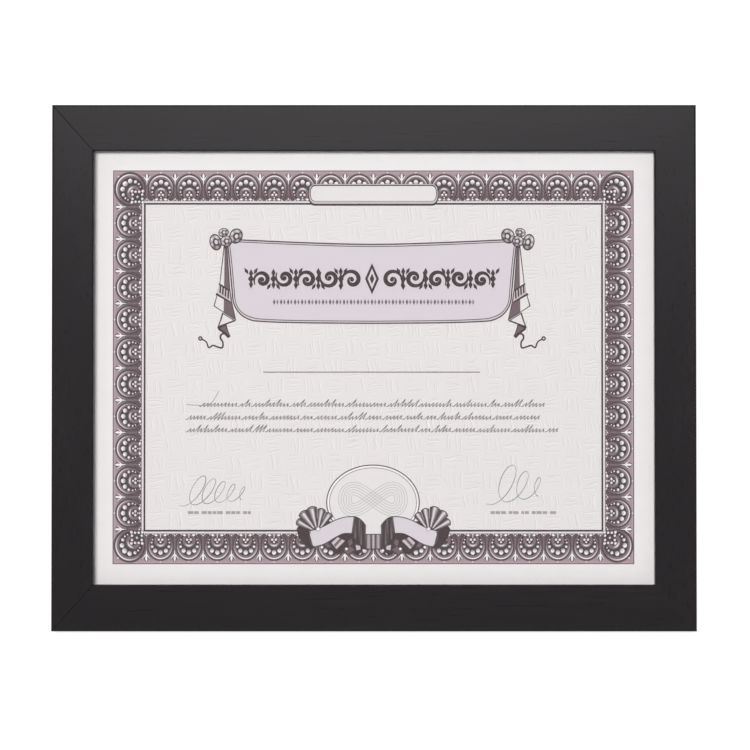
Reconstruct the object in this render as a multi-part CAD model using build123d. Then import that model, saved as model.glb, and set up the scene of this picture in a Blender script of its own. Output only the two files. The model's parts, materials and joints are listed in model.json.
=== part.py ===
"""Certificate frame for one landscape letter-size sheet, with an easel back.

Four mitred black mouldings hold a stack of glass, certificate, filler card and back board.
Turn buttons keep the board in, and a hinged easel leg with a ribbon stay props the frame up.
Every piece is drawn on the upright frame: X runs across it, Z up it, and the face is at Y = 0
with the back towards +Y. The whole frame is then leaned back on its lower back edge.
Lengths are in millimetres and angles in degrees.
"""

from build123d import *

import os
from math import cos, radians, sin

# Standing position
lean_angle = 14.0
leg_open_angle = 26.0

# Sheet and what the mouldings cover of it
sheet_width = 279.4
sheet_height = 215.9
sheet_thickness = 0.3
side_cover = 4.0
top_cover = 3.1

# Mouldings
side_face_width = 20.2
top_face_width = 22.5
lip_thickness = 5.5
sheet_to_rabbet_gap = 0.8
outer_easing = 1.0
back_easing = 0.5
sight_easing = 0.7
seam_groove_half_width = 0.15
seam_groove_depth = 0.2

# Corner nails
corner_nail_reach = 4.5
corner_nail_strip = 0.6
corner_nail_height = 9.0
corner_nail_place_shares = (0.3, 0.62)

# Glass, card and board in the rabbet
glass_thickness = 2.0
glass_edge_gap = 0.5
filler_thickness = 3.0
filler_edge_gap = 0.6
board_thickness = 3.0
board_edge_gap = 0.4
board_corner_radius = 2.5
board_recess = 0.3

# Turn buttons and their screws
button_thickness = 1.0
button_radius = 4.0
button_arm = 10.2
button_pivot_inset = 5.0
button_play = 0.1
button_edge_easing = 0.25
screw_radius = 1.5
screw_running_gap = 0.05
screw_depth = 7.5
screw_point_length = 2.0
screw_head_radius = 3.0
screw_head_height = 1.7
screw_head_rounding = 0.9
screw_slot_length = 3.4
screw_slot_width = 0.8
screw_slot_depth = 0.9
top_button_spread = 170.0
side_button_height_share = 0.36

# Easel head and leg
easel_board_thickness = 3.0
easel_board_gap = 1.5
head_top_margin = 24.6
head_width = 50.0
head_height = 34.0
head_corner_radius = 8.0
leg_top_width = 46.0
leg_foot_width = 78.0
leg_corner_radius = 3.0
foot_arch_radius = 14.0

# Hinge
hinge_width = 38.0
leaf_thickness = 0.8
leaf_height = 15.0
leaf_corner_radius = 2.5
barrel_radius = 1.8
hinge_pin_radius = 1.0
hinge_running_gap = 0.05
knuckle_count = 5
knuckle_gap = 0.2
barrel_gap = 0.3
pin_head_radius = 1.6
pin_head_height = 0.7
pin_head_gap = 0.1

# Rivets
rivet_radius = 1.2
rivet_depth = 2.2
rivet_head_radius = 2.4
rivet_head_height = 0.6
rivet_head_rounding = 0.4
rivet_hole_gap = 0.05
hinge_rivet_spread = 26.0
hinge_rivet_rise = 9.5

# Ribbon stay
ribbon_width = 12.0
ribbon_thickness = 0.4
ribbon_tab_length = 10.0
ribbon_board_drop = 105.0
ribbon_leg_drop = 125.0

# Sawtooth hangers and their nails
hanger_length = 44.0
hanger_height = 9.0
hanger_thickness = 0.8
hanger_end_length = 7.0
hanger_slope_length = 3.0
hanger_rise = 1.6
tooth_pitch = 2.5
tooth_depth = 1.4
tooth_count = 9
hanger_nail_radius = 0.75
hanger_nail_depth = 8.0
hanger_nail_head_radius = 1.7
hanger_nail_head_height = 0.5
hanger_nail_hole_gap = 0.05

# Bumper pads
pad_radius = 5.0
pad_thickness = 2.0
pad_rounding = 0.8
pad_inset = 9.5

# Cuts run past the faces they pass through by this much
overrun = 1.0
# Seam cuts run past the moulding by this share of its face width
seam_overrun_share = 0.1

# Sizes that follow from those above
opening_width = sheet_width - 2 * side_cover
opening_height = sheet_height - 2 * top_cover
outer_width = opening_width + 2 * side_face_width
outer_height = opening_height + 2 * top_face_width
rabbet_width = sheet_width + 2 * sheet_to_rabbet_gap
rabbet_height = sheet_height + 2 * sheet_to_rabbet_gap
side_wall = (outer_width - rabbet_width) / 2
top_wall = (outer_height - rabbet_height) / 2
middle_height = outer_height / 2

glass_front = lip_thickness
sheet_front = glass_front + glass_thickness
filler_front = sheet_front + sheet_thickness
board_front = filler_front + filler_thickness
board_back = board_front + board_thickness
rail_depth = board_back + board_recess
standing_edge_depth = rail_depth - back_easing

# The hinge axis lies in the outer face of the leaves
easel_outer_face = board_back + easel_board_gap + easel_board_thickness
axis_depth = easel_outer_face + leaf_thickness
leg_inner_offset = -leaf_thickness - easel_board_thickness
board_gap_at_axis = barrel_radius + barrel_gap
board_top = top_wall + rabbet_height - board_edge_gap
hinge_height = board_top - head_top_margin - head_height - board_gap_at_axis
leg_world_angle = leg_open_angle - lean_angle
axis_above_ground = (
    hinge_height * cos(radians(lean_angle))
    - (axis_depth - standing_edge_depth) * sin(radians(lean_angle))
)
leg_length = axis_above_ground / cos(radians(leg_world_angle))

FRONT_LOW = (Align.CENTER, Align.MIN, Align.MIN)
ON_BASE = (Align.CENTER, Align.CENTER, Align.MIN)
UNDER_TOP = (Align.CENTER, Align.CENTER, Align.MAX)


def slab(width, depth, height, front, low):
    """A box centred across the frame, from the depth front and the height low."""
    return Pos(0, front, low) * Box(width, depth, height, align=FRONT_LOW)


def rounded_slab(width, depth, height, radius, front, middle):
    """A board with rounded corners, centred across the frame at the height middle."""
    outline = Pos(0, front, middle) * Rot(-90, 0, 0) * RectangleRounded(width, height, radius)
    return extrude(outline, amount=depth, dir=(0, 1, 0))


def side_prism(points, width):
    """An outline given as (depth, height) points, made as wide as width across the frame."""
    return extrude(Plane.YZ * Polygon(*points, align=None), amount=width / 2, both=True)


def back_prism(points, front, depth):
    """An outline given as (across, height) points, made from the depth front backwards."""
    section = Plane(origin=(0, front, 0), x_dir=(1, 0, 0), z_dir=(0, -1, 0))
    return extrude(section * Polygon(*points, align=None), amount=depth, dir=(0, 1, 0))


def headed_pin(radius, depth, head_radius, head_height, rounding):
    """A pin from z = 0 down to -depth with a rounded head standing on z = 0."""
    head = Cylinder(head_radius, head_height, align=ON_BASE)
    head = fillet(head.edges().sort_by(Axis.Z)[-1], rounding)
    shank = Pos(0, 0, -depth) * Cylinder(radius, depth, align=ON_BASE)
    return head + shank


def on_back(shape, across, height, face):
    """Turn a shape made on z = 0 so that it stands on a back face, pointing backwards."""
    return Pos(across, face, height) * Rot(-90, 0, 0) * shape


def opened(shape):
    """Swing a piece of the closed leg out to its open place about the hinge axis."""
    swing = Pos(0, axis_depth, hinge_height) * Rot(leg_open_angle, 0, 0)
    return swing * Pos(0, -axis_depth, -hinge_height) * shape


# Mouldings

def moulding_ring():
    """The four mouldings as one ring, before the corners are cut."""
    ring = slab(outer_width, rail_depth, outer_height, 0, 0)
    ring = fillet(ring.faces().sort_by(Axis.Y)[0].edges(), outer_easing)
    ring = chamfer(ring.faces().sort_by(Axis.Y)[-1].edges(), back_easing)
    through = rail_depth + 2 * overrun
    ring -= slab(opening_width, through, opening_height, -overrun, top_face_width)
    rabbet_depth = rail_depth - lip_thickness + overrun
    ring -= slab(rabbet_width, rabbet_depth, rabbet_height, lip_thickness, top_wall)
    sight_edges = ring.faces().sort_by(Axis.Y)[0].inner_wires()[0].edges()
    return chamfer(sight_edges, sight_easing)


def seam_ends(left, top):
    """The outer and inner end of a corner's seam, a little past the moulding both ways."""
    side = -1 if left else 1
    outer = Vector(side * outer_width / 2, outer_height if top else 0)
    inward = Vector(-side * side_face_width, -top_face_width if top else top_face_width)
    past = inward * seam_overrun_share
    return outer - past, outer + inward + past


def seam_groove(left, top):
    """The fine V that shows along a corner's seam on the face."""
    outer, inner = seam_ends(left, top)
    run = inner - outer
    section = Plane(origin=(outer.X, 0, outer.Y), x_dir=(0, 1, 0), z_dir=(run.X, 0, run.Y))
    half_width_past = seam_groove_half_width * (1 + overrun / seam_groove_depth)
    outline = Polygon(
        (seam_groove_depth, 0),
        (-overrun, half_width_past),
        (-overrun, -half_width_past),
        align=None,
    )
    return extrude(section * outline, amount=run.length, dir=section.z_dir)


def corner_nails():
    """Bent strips driven across each seam, flush with the back of the mouldings."""
    chevron = Polygon(
        (0, 0),
        (corner_nail_reach, corner_nail_reach),
        (corner_nail_reach + corner_nail_strip, corner_nail_reach),
        (corner_nail_strip, 0),
        (corner_nail_reach + corner_nail_strip, -corner_nail_reach),
        (corner_nail_reach, -corner_nail_reach),
        align=None,
    )
    nails = []
    for left in (True, False):
        for top in (True, False):
            side = -1 if left else 1
            outer = Vector(side * outer_width / 2, outer_height if top else 0)
            run = Vector(-side * side_wall, -top_wall if top else top_wall)
            for share in corner_nail_place_shares:
                spot = outer + run * share
                seat = Plane(
                    origin=(spot.X, rail_depth, spot.Y),
                    x_dir=(run.X, 0, run.Y),
                    z_dir=(0, -1, 0),
                )
                nails.append(extrude(seat * chevron, amount=corner_nail_height, dir=seat.z_dir))
    return nails


def rail(ring, first_seam, second_seam):
    """The stretch of the ring between two seams."""
    outer_a, inner_a = first_seam
    outer_b, inner_b = second_seam
    corners = [(p.X, p.Y) for p in (outer_a, inner_a, inner_b, outer_b)]
    wedge = back_prism(corners, -overrun, rail_depth + 2 * overrun)
    return ring & wedge


# Turn buttons

def turn_button():
    """A flat button lying on z = 0, turning about its hole, with its arm towards +Y."""
    reach = button_arm - button_radius
    outline = Pos(0, reach / 2) * Rot(0, 0, 90) * SlotCenterToCenter(reach, 2 * button_radius)
    body = extrude(outline, amount=button_thickness)
    body = chamfer(body.faces().sort_by(Axis.Z)[-1].edges(), button_edge_easing)
    hole = Cylinder(screw_radius + screw_running_gap, button_thickness + 2 * overrun)
    return body - hole


def button_screw():
    """A pan head screw whose head stands clear above a button that lies on z = 0."""
    head_seat = button_thickness + 2 * button_play
    depth = screw_depth + head_seat
    body = headed_pin(
        screw_radius, depth, screw_head_radius, screw_head_height, screw_head_rounding
    )
    point = Pos(0, 0, -depth) * Rot(180, 0, 0) * Cone(
        screw_radius, screw_radius / 4, screw_point_length, align=ON_BASE
    )
    body += point
    slot = Box(screw_slot_length, screw_slot_width, screw_slot_depth + overrun, align=ON_BASE)
    slot = Pos(0, 0, screw_head_height - screw_slot_depth) * slot
    body -= slot
    body -= Rot(0, 0, 90) * slot
    return Pos(0, 0, head_seat) * body


def button_places():
    """Each button's name, pivot across and up the back, and the turn that points it inwards."""
    spread = top_button_spread / 2
    high = outer_height - top_wall + button_pivot_inset
    low = top_wall - button_pivot_inset
    beside = rabbet_width / 2 + button_pivot_inset
    side_height = outer_height * side_button_height_share
    return {
        "turn_button_top_left": (-spread, high, 0),
        "turn_button_top_right": (spread, high, 0),
        "turn_button_bottom_left": (-spread, low, 180),
        "turn_button_bottom_right": (spread, low, 180),
        "turn_button_left": (-beside, side_height, -90),
        "turn_button_right": (beside, side_height, 90),
    }


# Easel

def easel_head():
    """The block glued to the back board that carries the hinge."""
    low = hinge_height + board_gap_at_axis
    depth = easel_board_gap + easel_board_thickness
    head = slab(head_width, depth, head_height, board_back, low)
    upper = head.edges().filter_by(Axis.Y).sort_by(Axis.Z)[-2:]
    return fillet(upper, head_corner_radius)


def easel_leg():
    """The tapered leg in its open place, with its feet cut level with the table."""
    top = hinge_height - board_gap_at_axis
    foot = hinge_height - leg_length - overrun
    outline = [
        (-leg_top_width / 2, top),
        (leg_top_width / 2, top),
        (leg_foot_width / 2, foot),
        (-leg_foot_width / 2, foot),
    ]
    front = axis_depth + leg_inner_offset
    leg = back_prism(outline, front, easel_board_thickness)
    upper = leg.edges().filter_by(Axis.Y).sort_by(Axis.Z)[-2:]
    leg = fillet(upper, leg_corner_radius)
    arch = Cylinder(foot_arch_radius, easel_board_thickness + 2 * overrun)
    arch_middle = front + easel_board_thickness / 2
    leg -= Pos(0, arch_middle, hinge_height - leg_length) * Rot(90, 0, 0) * arch
    return opened(leg) - below_table()


def below_table():
    """Everything under the table that the frame stands on, seen from the upright frame."""
    block = Box(2 * leg_foot_width, 2 * leg_length, leg_length, align=UNDER_TOP)
    return Pos(0, standing_edge_depth, 0) * Rot(lean_angle, 0, 0) * block


def knuckle_spans(first):
    """The stretches of every second knuckle across the hinge, from knuckle number first."""
    step = hinge_width / knuckle_count
    left = -hinge_width / 2
    return [
        (left + step * i + knuckle_gap / 2, left + step * (i + 1) - knuckle_gap / 2)
        for i in range(first, knuckle_count, 2)
    ]


def hinge_leaf(first_knuckle, up):
    """One leaf of the hinge in the closed place, rising from the axis or hanging from it."""
    inner_edge = barrel_radius + barrel_gap
    centre = inner_edge + (leaf_height - inner_edge) / 2
    plate = rounded_slab(
        hinge_width, leaf_thickness, leaf_height - inner_edge, leaf_corner_radius, 0, centre
    )
    bore = Cylinder(hinge_pin_radius + hinge_running_gap, hinge_width + 2 * overrun)
    bore = Pos(0, leaf_thickness, 0) * Rot(0, 90, 0) * bore
    for start, end in knuckle_spans(first_knuckle):
        middle = (start + end) / 2
        strap = slab(end - start, leaf_thickness, inner_edge + leaf_corner_radius, 0, 0)
        barrel = Pos(0, leaf_thickness, 0) * Rot(0, 90, 0) * Cylinder(barrel_radius, end - start)
        plate += Pos(middle, 0, 0) * (strap + barrel)
    leaf = plate - bore
    if not up:
        leaf = mirror(leaf, about=Plane.XY)
    return Pos(0, easel_outer_face, hinge_height) * leaf


def hinge_pin():
    """The pin through the knuckles, peened over at both ends."""
    half = hinge_width / 2 + pin_head_gap
    pin = Cylinder(hinge_pin_radius, 2 * half)
    for turn in (0, 180):
        head = Pos(0, 0, half) * Cylinder(pin_head_radius, pin_head_height, align=ON_BASE)
        head = fillet(head.edges().sort_by(Axis.Z)[-1], pin_head_height / 2)
        pin += Rot(0, turn, 0) * head
    return Pos(0, axis_depth, hinge_height) * Rot(0, 90, 0) * pin


def rivet(hole_gap=0.0):
    """A domed rivet on z = 0, or the hole that it needs through a loose piece."""
    if hole_gap:
        return Cylinder(rivet_radius + hole_gap, 2 * (rivet_depth + overrun))
    return headed_pin(
        rivet_radius, rivet_depth, rivet_head_radius, rivet_head_height, rivet_head_rounding
    )


def hinge_rivet_places(up):
    """Where the two rivets of a leaf stand, across and up the closed easel."""
    rise = hinge_rivet_rise if up else -hinge_rivet_rise
    return [(side * hinge_rivet_spread / 2, hinge_height + rise) for side in (-1, 1)]


def hinge_rivets(up):
    """The rivets that hold one leaf, in the closed place."""
    return [on_back(rivet(), x, z, axis_depth) for x, z in hinge_rivet_places(up)]


# Ribbon stay

def ribbon_route():
    """The middle line of the ribbon as (depth, height): board tab, span and leg tab."""
    half = ribbon_thickness / 2
    on_board = Vector(board_back + half, hinge_height - ribbon_board_drop)
    board_end = on_board + Vector(0, ribbon_tab_length)
    swing = radians(leg_open_angle)
    along = Vector(sin(swing), -cos(swing))
    outwards = Vector(cos(swing), sin(swing))
    axis = Vector(axis_depth, hinge_height)
    on_leg = axis + outwards * (leg_inner_offset - half) + along * ribbon_leg_drop
    return [board_end, on_board, on_leg, on_leg + along * ribbon_tab_length]


def strip_outline(route, thickness):
    """The closed outline of a strip of even thickness that follows a route of points."""
    directions = [(b - a).normalized() for a, b in zip(route, route[1:])]
    sides = [Vector(-d.Y, d.X) for d in directions]
    shifts = [sides[0]]
    for a, b in zip(sides, sides[1:]):
        shifts.append((a + b) / (1 + a.dot(b)))
    shifts.append(sides[-1])
    left = [p + s * thickness / 2 for p, s in zip(route, shifts)]
    right = [p - s * thickness / 2 for p, s in zip(route, shifts)]
    return [(p.X, p.Y) for p in left + right[::-1]]


def board_stay_place():
    """The height of the rivet that holds the ribbon's upper tab to the back board."""
    return hinge_height - ribbon_board_drop + ribbon_tab_length / 2


def board_stay_rivet():
    """The rivet through the ribbon's tab into the back board."""
    return on_back(rivet(), 0, board_stay_place(), board_back + ribbon_thickness)


def leg_stay_rivet(hole_gap=0.0):
    """The rivet through the ribbon's other tab into the leg's inner face, or its hole."""
    height = hinge_height - ribbon_leg_drop - ribbon_tab_length / 2
    face = axis_depth + leg_inner_offset - ribbon_thickness
    return opened(Pos(0, face, height) * Rot(90, 0, 0) * rivet(hole_gap))


def stay_ribbon():
    """The woven tape that stops the leg at its open place."""
    tape = side_prism(strip_outline(ribbon_route(), ribbon_thickness), ribbon_width)
    tape -= on_back(rivet(rivet_hole_gap), 0, board_stay_place(), board_back)
    return tape - leg_stay_rivet(rivet_hole_gap)


# Hangers

def sawtooth_hanger():
    """A bowed hanger strip lying along X on z = 0, with its teeth towards -Y."""
    flat_end = hanger_length / 2
    rise_start = flat_end - hanger_end_length
    rise_end = rise_start - hanger_slope_length
    route = [
        Vector(-flat_end, 0),
        Vector(-rise_start, 0),
        Vector(-rise_end, hanger_rise),
        Vector(rise_end, hanger_rise),
        Vector(rise_start, 0),
        Vector(flat_end, 0),
    ]
    outline = Polygon(*strip_outline(route, hanger_thickness), align=None)
    strip = extrude(Plane.XZ * outline, amount=hanger_height / 2, both=True)
    strip = Pos(0, 0, hanger_thickness / 2) * strip
    tooth = Polygon(
        (-tooth_pitch / 2, -tooth_depth),
        (0, tooth_depth),
        (tooth_pitch / 2, -tooth_depth),
        align=None,
    )
    notch = extrude(tooth, amount=hanger_rise + hanger_thickness + overrun, dir=(0, 0, 1))
    for i in range(tooth_count):
        across = (i - (tooth_count - 1) / 2) * tooth_pitch
        strip -= Pos(across, -hanger_height / 2, 0) * notch
    for side in (-1, 1):
        hole = Cylinder(hanger_nail_radius + hanger_nail_hole_gap, 2 * overrun + hanger_rise)
        strip -= Pos(side * hanger_nail_place(), 0, 0) * hole
    return strip


def hanger_nail_place():
    """How far each nail stands from the middle of its hanger."""
    return (hanger_length - hanger_end_length) / 2


def hanger_nail_pair():
    """The two nails of one hanger, with their heads on the strip's flat ends."""
    nail = headed_pin(
        hanger_nail_radius,
        hanger_nail_depth + hanger_thickness,
        hanger_nail_head_radius,
        hanger_nail_head_height,
        hanger_nail_head_height / 2,
    )
    return [
        Pos(side * hanger_nail_place(), 0, hanger_thickness) * nail for side in (-1, 1)
    ]


def hanger_places():
    """Where each hanger lies on the back and the turn that points its teeth inwards."""
    side = (outer_width - side_wall) / 2
    return {
        "hanger_landscape": (0, outer_height - top_wall / 2, 180),
        "hanger_portrait": (-side, middle_height, 90),
    }


def bumper_pads():
    """Soft pads at the lower back corners that keep the frame off a wall."""
    pad = Cylinder(pad_radius, pad_thickness, align=ON_BASE)
    pad = fillet(pad.edges().sort_by(Axis.Z)[-1], pad_rounding)
    across = outer_width / 2 - pad_inset
    return [on_back(pad, side * across, pad_inset, rail_depth) for side in (-1, 1)]


# Assembly on the upright frame

def upright_pieces():
    """Every piece by name, as a list of solids on the upright frame."""
    pieces = {}
    screws = []
    for name, (across, height, turn) in button_places().items():
        button = Pos(0, 0, button_play) * turn_button()
        pieces[name] = [on_back(Rot(0, 0, turn) * button, across, height, rail_depth)]
        screws.append(on_back(button_screw(), across, height, rail_depth))
    pieces["button_screws"] = screws

    hanger_nails = []
    for name, (across, height, turn) in hanger_places().items():
        pieces[name] = [on_back(Rot(0, 0, turn) * sawtooth_hanger(), across, height, rail_depth)]
        for nail in hanger_nail_pair():
            hanger_nails.append(on_back(Rot(0, 0, turn) * nail, across, height, rail_depth))
    pieces["hanger_nails"] = hanger_nails

    pieces["corner_nails"] = corner_nails()
    driven = screws + hanger_nails + pieces["corner_nails"]
    ring = moulding_ring()
    for top in (True, False):
        ring -= seam_groove(True, top)
    seams = {(left, top): seam_ends(left, top) for left in (True, False) for top in (True, False)}
    ends = {
        "rail_top": (seams[True, True], seams[False, True]),
        "rail_bottom": (seams[True, False], seams[False, False]),
        "rail_left": (seams[True, True], seams[True, False]),
        "rail_right": (seams[False, True], seams[False, False]),
    }
    for name, (first, second) in ends.items():
        piece = rail(ring, first, second)
        for pin in driven:
            piece -= pin
        pieces[name] = [piece]

    pieces["glass_pane"] = [
        slab(
            rabbet_width - 2 * glass_edge_gap,
            glass_thickness,
            rabbet_height - 2 * glass_edge_gap,
            glass_front,
            top_wall + glass_edge_gap,
        )
    ]
    sheet_low = middle_height - sheet_height / 2
    pieces["certificate_sheet"] = [
        slab(sheet_width, sheet_thickness, sheet_height, sheet_front, sheet_low)
    ]
    pieces["filler_card"] = [
        slab(
            rabbet_width - 2 * filler_edge_gap,
            filler_thickness,
            rabbet_height - 2 * filler_edge_gap,
            filler_front,
            top_wall + filler_edge_gap,
        )
    ]
    back_board = rounded_slab(
        rabbet_width - 2 * board_edge_gap,
        board_thickness,
        rabbet_height - 2 * board_edge_gap,
        board_corner_radius,
        board_front,
        middle_height,
    )
    pieces["stay_rivet_board"] = [board_stay_rivet()]
    pieces["back_board"] = [back_board - board_stay_rivet()]

    pieces["head_rivets"] = hinge_rivets(True)
    head = easel_head()
    upper_leaf = hinge_leaf(0, True)
    for pin in pieces["head_rivets"]:
        head -= pin
        upper_leaf -= pin
    pieces["easel_head"] = [head]
    pieces["hinge_leaf_head"] = [upper_leaf]
    pieces["hinge_pin"] = [hinge_pin()]

    closed_rivets = hinge_rivets(False)
    lower_leaf = hinge_leaf(1, False)
    for pin in closed_rivets:
        lower_leaf -= pin
    pieces["leg_rivets"] = [opened(pin) for pin in closed_rivets]
    pieces["hinge_leaf_leg"] = [opened(lower_leaf)]
    leg = easel_leg() - leg_stay_rivet()
    for pin in pieces["leg_rivets"]:
        leg -= pin
    pieces["easel_leg"] = [leg]
    pieces["stay_rivet_leg"] = [leg_stay_rivet()]
    pieces["stay_ribbon"] = [stay_ribbon()]
    pieces["bumper_pads"] = bumper_pads()
    return pieces


# Standing place

def leaned_box(pieces):
    """The box of the leaned-back frame, before it is moved over its origin."""
    lean = Rot(-lean_angle, 0, 0)
    return Compound([lean * solid for group in pieces.values() for solid in group]).bounding_box()


def standing(pieces):
    """The place that leans the upright frame back and puts the origin under its middle."""
    box = leaned_box(pieces)
    middle_depth = (box.min.Y + box.max.Y) / 2
    middle_width = (box.min.X + box.max.X) / 2
    return Pos(-middle_width, -middle_depth, -box.min.Z) * Rot(-lean_angle, 0, 0)


def main():
    """Write each named piece to its own file in its standing place."""
    os.makedirs("parts", exist_ok=True)
    pieces = upright_pieces()
    place = standing(pieces)
    for name, group in pieces.items():
        solids = [solid for shape in group for solid in (place * shape).solids()]
        shape = solids[0] if len(solids) == 1 else Compound(solids)
        shape.label = name
        export_step(shape, f"parts/{name}.step")
    span = ribbon_route()[2] - ribbon_route()[1]
    print(f"outer {outer_width:.1f} x {outer_height:.1f} mm")
    print(f"opening {opening_width:.1f} x {opening_height:.1f} mm, depth {rail_depth:.1f} mm")
    print(f"leg {leg_length:.1f} mm, free ribbon {span.length:.1f} mm")


main()
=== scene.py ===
"""The looks of a leaning certificate frame: finishes, printed sheet, stay ribbon, camera and light.

Fields and sizes are in millimetres, as a frame maker gives them. Meshes and node trees are in metres.
"""
import json
import logging
import math
import random
from collections.abc import Callable, Mapping, Sequence
from dataclasses import dataclass, field
from enum import Enum

import bmesh
import bpy
from mathutils import Matrix, Vector


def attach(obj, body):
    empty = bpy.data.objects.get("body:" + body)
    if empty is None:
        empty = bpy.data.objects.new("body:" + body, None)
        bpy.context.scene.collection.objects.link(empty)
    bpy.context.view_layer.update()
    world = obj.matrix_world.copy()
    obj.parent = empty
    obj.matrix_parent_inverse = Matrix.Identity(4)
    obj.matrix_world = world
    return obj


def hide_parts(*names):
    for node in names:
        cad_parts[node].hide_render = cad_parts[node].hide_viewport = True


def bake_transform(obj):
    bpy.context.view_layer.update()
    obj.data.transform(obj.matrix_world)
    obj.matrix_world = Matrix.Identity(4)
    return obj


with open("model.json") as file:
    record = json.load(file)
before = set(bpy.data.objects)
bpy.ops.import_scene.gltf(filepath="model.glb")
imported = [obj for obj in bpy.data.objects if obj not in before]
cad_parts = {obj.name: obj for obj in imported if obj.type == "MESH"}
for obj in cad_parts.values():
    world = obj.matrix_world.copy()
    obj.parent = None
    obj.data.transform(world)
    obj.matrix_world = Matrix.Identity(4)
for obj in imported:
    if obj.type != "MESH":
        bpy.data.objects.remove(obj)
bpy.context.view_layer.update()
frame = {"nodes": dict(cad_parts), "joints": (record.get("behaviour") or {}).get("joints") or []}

MM = 0.001
LAYER = 0.02
INK = "ink"
LOG = logging.getLogger("certificate_frame")

Point = tuple[float, float]
Colour = tuple[float, float, float]
Tint = Colour | Callable[[Point], Colour]
Material, Mesh, Object = bpy.types.Material, bpy.types.Mesh, bpy.types.Object
Node, Socket, Tree = bpy.types.Node, bpy.types.NodeSocket, bpy.types.NodeTree
Sockets = Mapping[str | int, Socket]


def linear(red: float, green: float, blue: float) -> Colour:
    """A colour as seen on a screen, 0 to 255, as linear light.

    Args:
        red: How much red.
        green: How much green.
        blue: How much blue.

    Returns:
        The three linear values, 0 to 1.
    """
    shares = [value / 255 for value in (red, green, blue)]
    low, knee = 12.92, 0.04045
    return tuple(s / low if s <= knee else ((s + 0.055) / 1.055) ** 2.4 for s in shares)


def blended(a: Colour, b: Colour, share: float) -> Colour:
    """The colour that lies between two others.

    Args:
        a: The colour at share 0.
        b: The colour at share 1.
        share: Where it lies, held between 0 and 1.

    Returns:
        The mixed colour.
    """
    held = min(1.0, max(0.0, share))
    return tuple(x + (y - x) * held for x, y in zip(a, b))


class Inks(Enum):
    """The printer's inks, as they look on the sheet."""

    PAPER = linear(243, 235, 237)
    PANEL = linear(233, 225, 226)
    WHITE = linear(246, 238, 242)
    PLUM_BLACK = linear(43, 11, 18)
    OUTLINE = linear(54, 26, 34)
    CHANNEL = linear(54, 38, 44)
    UMBER = linear(82, 61, 68)
    MAUVE = linear(132, 107, 116)
    ROSE = linear(184, 156, 167)
    SHELL = linear(206, 189, 196)
    LILAC = linear(219, 208, 216)
    SCRIPT = linear(116, 107, 109)
    PEN = linear(136, 141, 145)
    KNOT = linear(194, 189, 189)
    # Painted shade and painted highlight of the stamped strokes: a darker and a lighter copy of the panel's
    # colour.
    EMBOSS_PAINTED_SHADE = linear(223, 214, 215)
    EMBOSS_PAINTED_HIGHLIGHT = linear(241, 235, 236)


@dataclass(frozen=True)
class LeaningPlane:
    """The plane of the printed sheet, which leans back with the whole frame.

    Attributes:
        origin: The middle of the sheet's front, in metres.
        up: Up the sheet.
        back: Square to the sheet, towards the easel.
    """

    origin: Vector
    up: Vector
    back: Vector

    @classmethod
    def of_frame(cls) -> "LeaningPlane":
        """Reads the lean from a turn button's axis and the middle from the certificate itself.

        Returns:
            The plane.
        """
        axes = {joint["name"]: Vector(joint["axis"]) for joint in frame["joints"]}
        back = axes["button_left_turn"].normalized()
        up = Vector((1, 0, 0)).cross(back)
        corners = [v.co for v in frame["nodes"]["certificate_sheet"].data.vertices]
        heights = [c.dot(up) for c in corners]
        middle = (min(heights) + max(heights)) / 2
        return cls(up * middle + back * min(c.dot(back) for c in corners), up, back)

    def depths(self, node: str) -> Point:
        """How far behind the sheet's front a piece begins and ends.

        Args:
            node: The piece's name.

        Returns:
            The nearest and the furthest depth, in millimetres.
        """
        depths = [(v.co - self.origin).dot(self.back) for v in frame["nodes"][node].data.vertices]
        return min(depths) / MM, max(depths) / MM

    def at(self, across: float, up: float, depth: float = 0.0) -> Vector:
        """A point given from the sheet's middle.

        Args:
            across: Millimetres to the right.
            up: Millimetres up the sheet.
            depth: Millimetres behind its front.

        Returns:
            The point in metres.
        """
        return self.origin + (Vector((1, 0, 0)) * across + self.up * up + self.back * depth) * MM

    def drawing(self, depth: float) -> Matrix:
        """What lays a flat drawing on the sheet, its height towards the viewer.

        Args:
            depth: Millimetres behind the sheet's front.

        Returns:
            The matrix.
        """
        turned = Matrix((Vector((1, 0, 0)), self.up, -self.back)).transposed().to_4x4()
        return Matrix.Translation(self.at(0, 0, depth)) @ turned


PLANE = LeaningPlane.of_frame()


def arc(centre: Point, radius: float, start: float, end: float, steps: int) -> list[Point]:
    """Points along a circle.

    Args:
        centre: Its centre.
        radius: Its radius.
        start: The first angle in degrees.
        end: The last angle in degrees.
        steps: How many spans the points make.

    Returns:
        The points, both ends included.
    """
    angles = [math.radians(start + (end - start) * i / steps) for i in range(steps + 1)]
    return [(centre[0] + radius * math.cos(a), centre[1] + radius * math.sin(a)) for a in angles]


def smooth(points: Sequence[Point], steps: int = 8, closed: bool = False) -> list[Point]:
    """A soft line through given points.

    Args:
        points: What the line passes through.
        steps: How many spans lie between two of them.
        closed: Whether it comes back to its start.

    Returns:
        The line's points.
    """
    count = len(points)
    spans = count if closed else count - 1

    def pick(i: int) -> Vector:
        """The point with that number, held at the ends of an open line."""
        return Vector(points[i % count] if closed else points[min(max(i, 0), count - 1)])

    line = []
    for i in range(spans):
        a, b, c, d = (pick(i + k) for k in (-1, 0, 1, 2))
        for step in range(steps):
            t = step / steps
            bend = (c - a) * t + (2 * a - 5 * b + 4 * c - d) * t**2 + (3 * b - a - 3 * c + d) * t**3
            line.append(tuple(b + bend / 2))
    return line if closed else line + [tuple(points[-1])]


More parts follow.
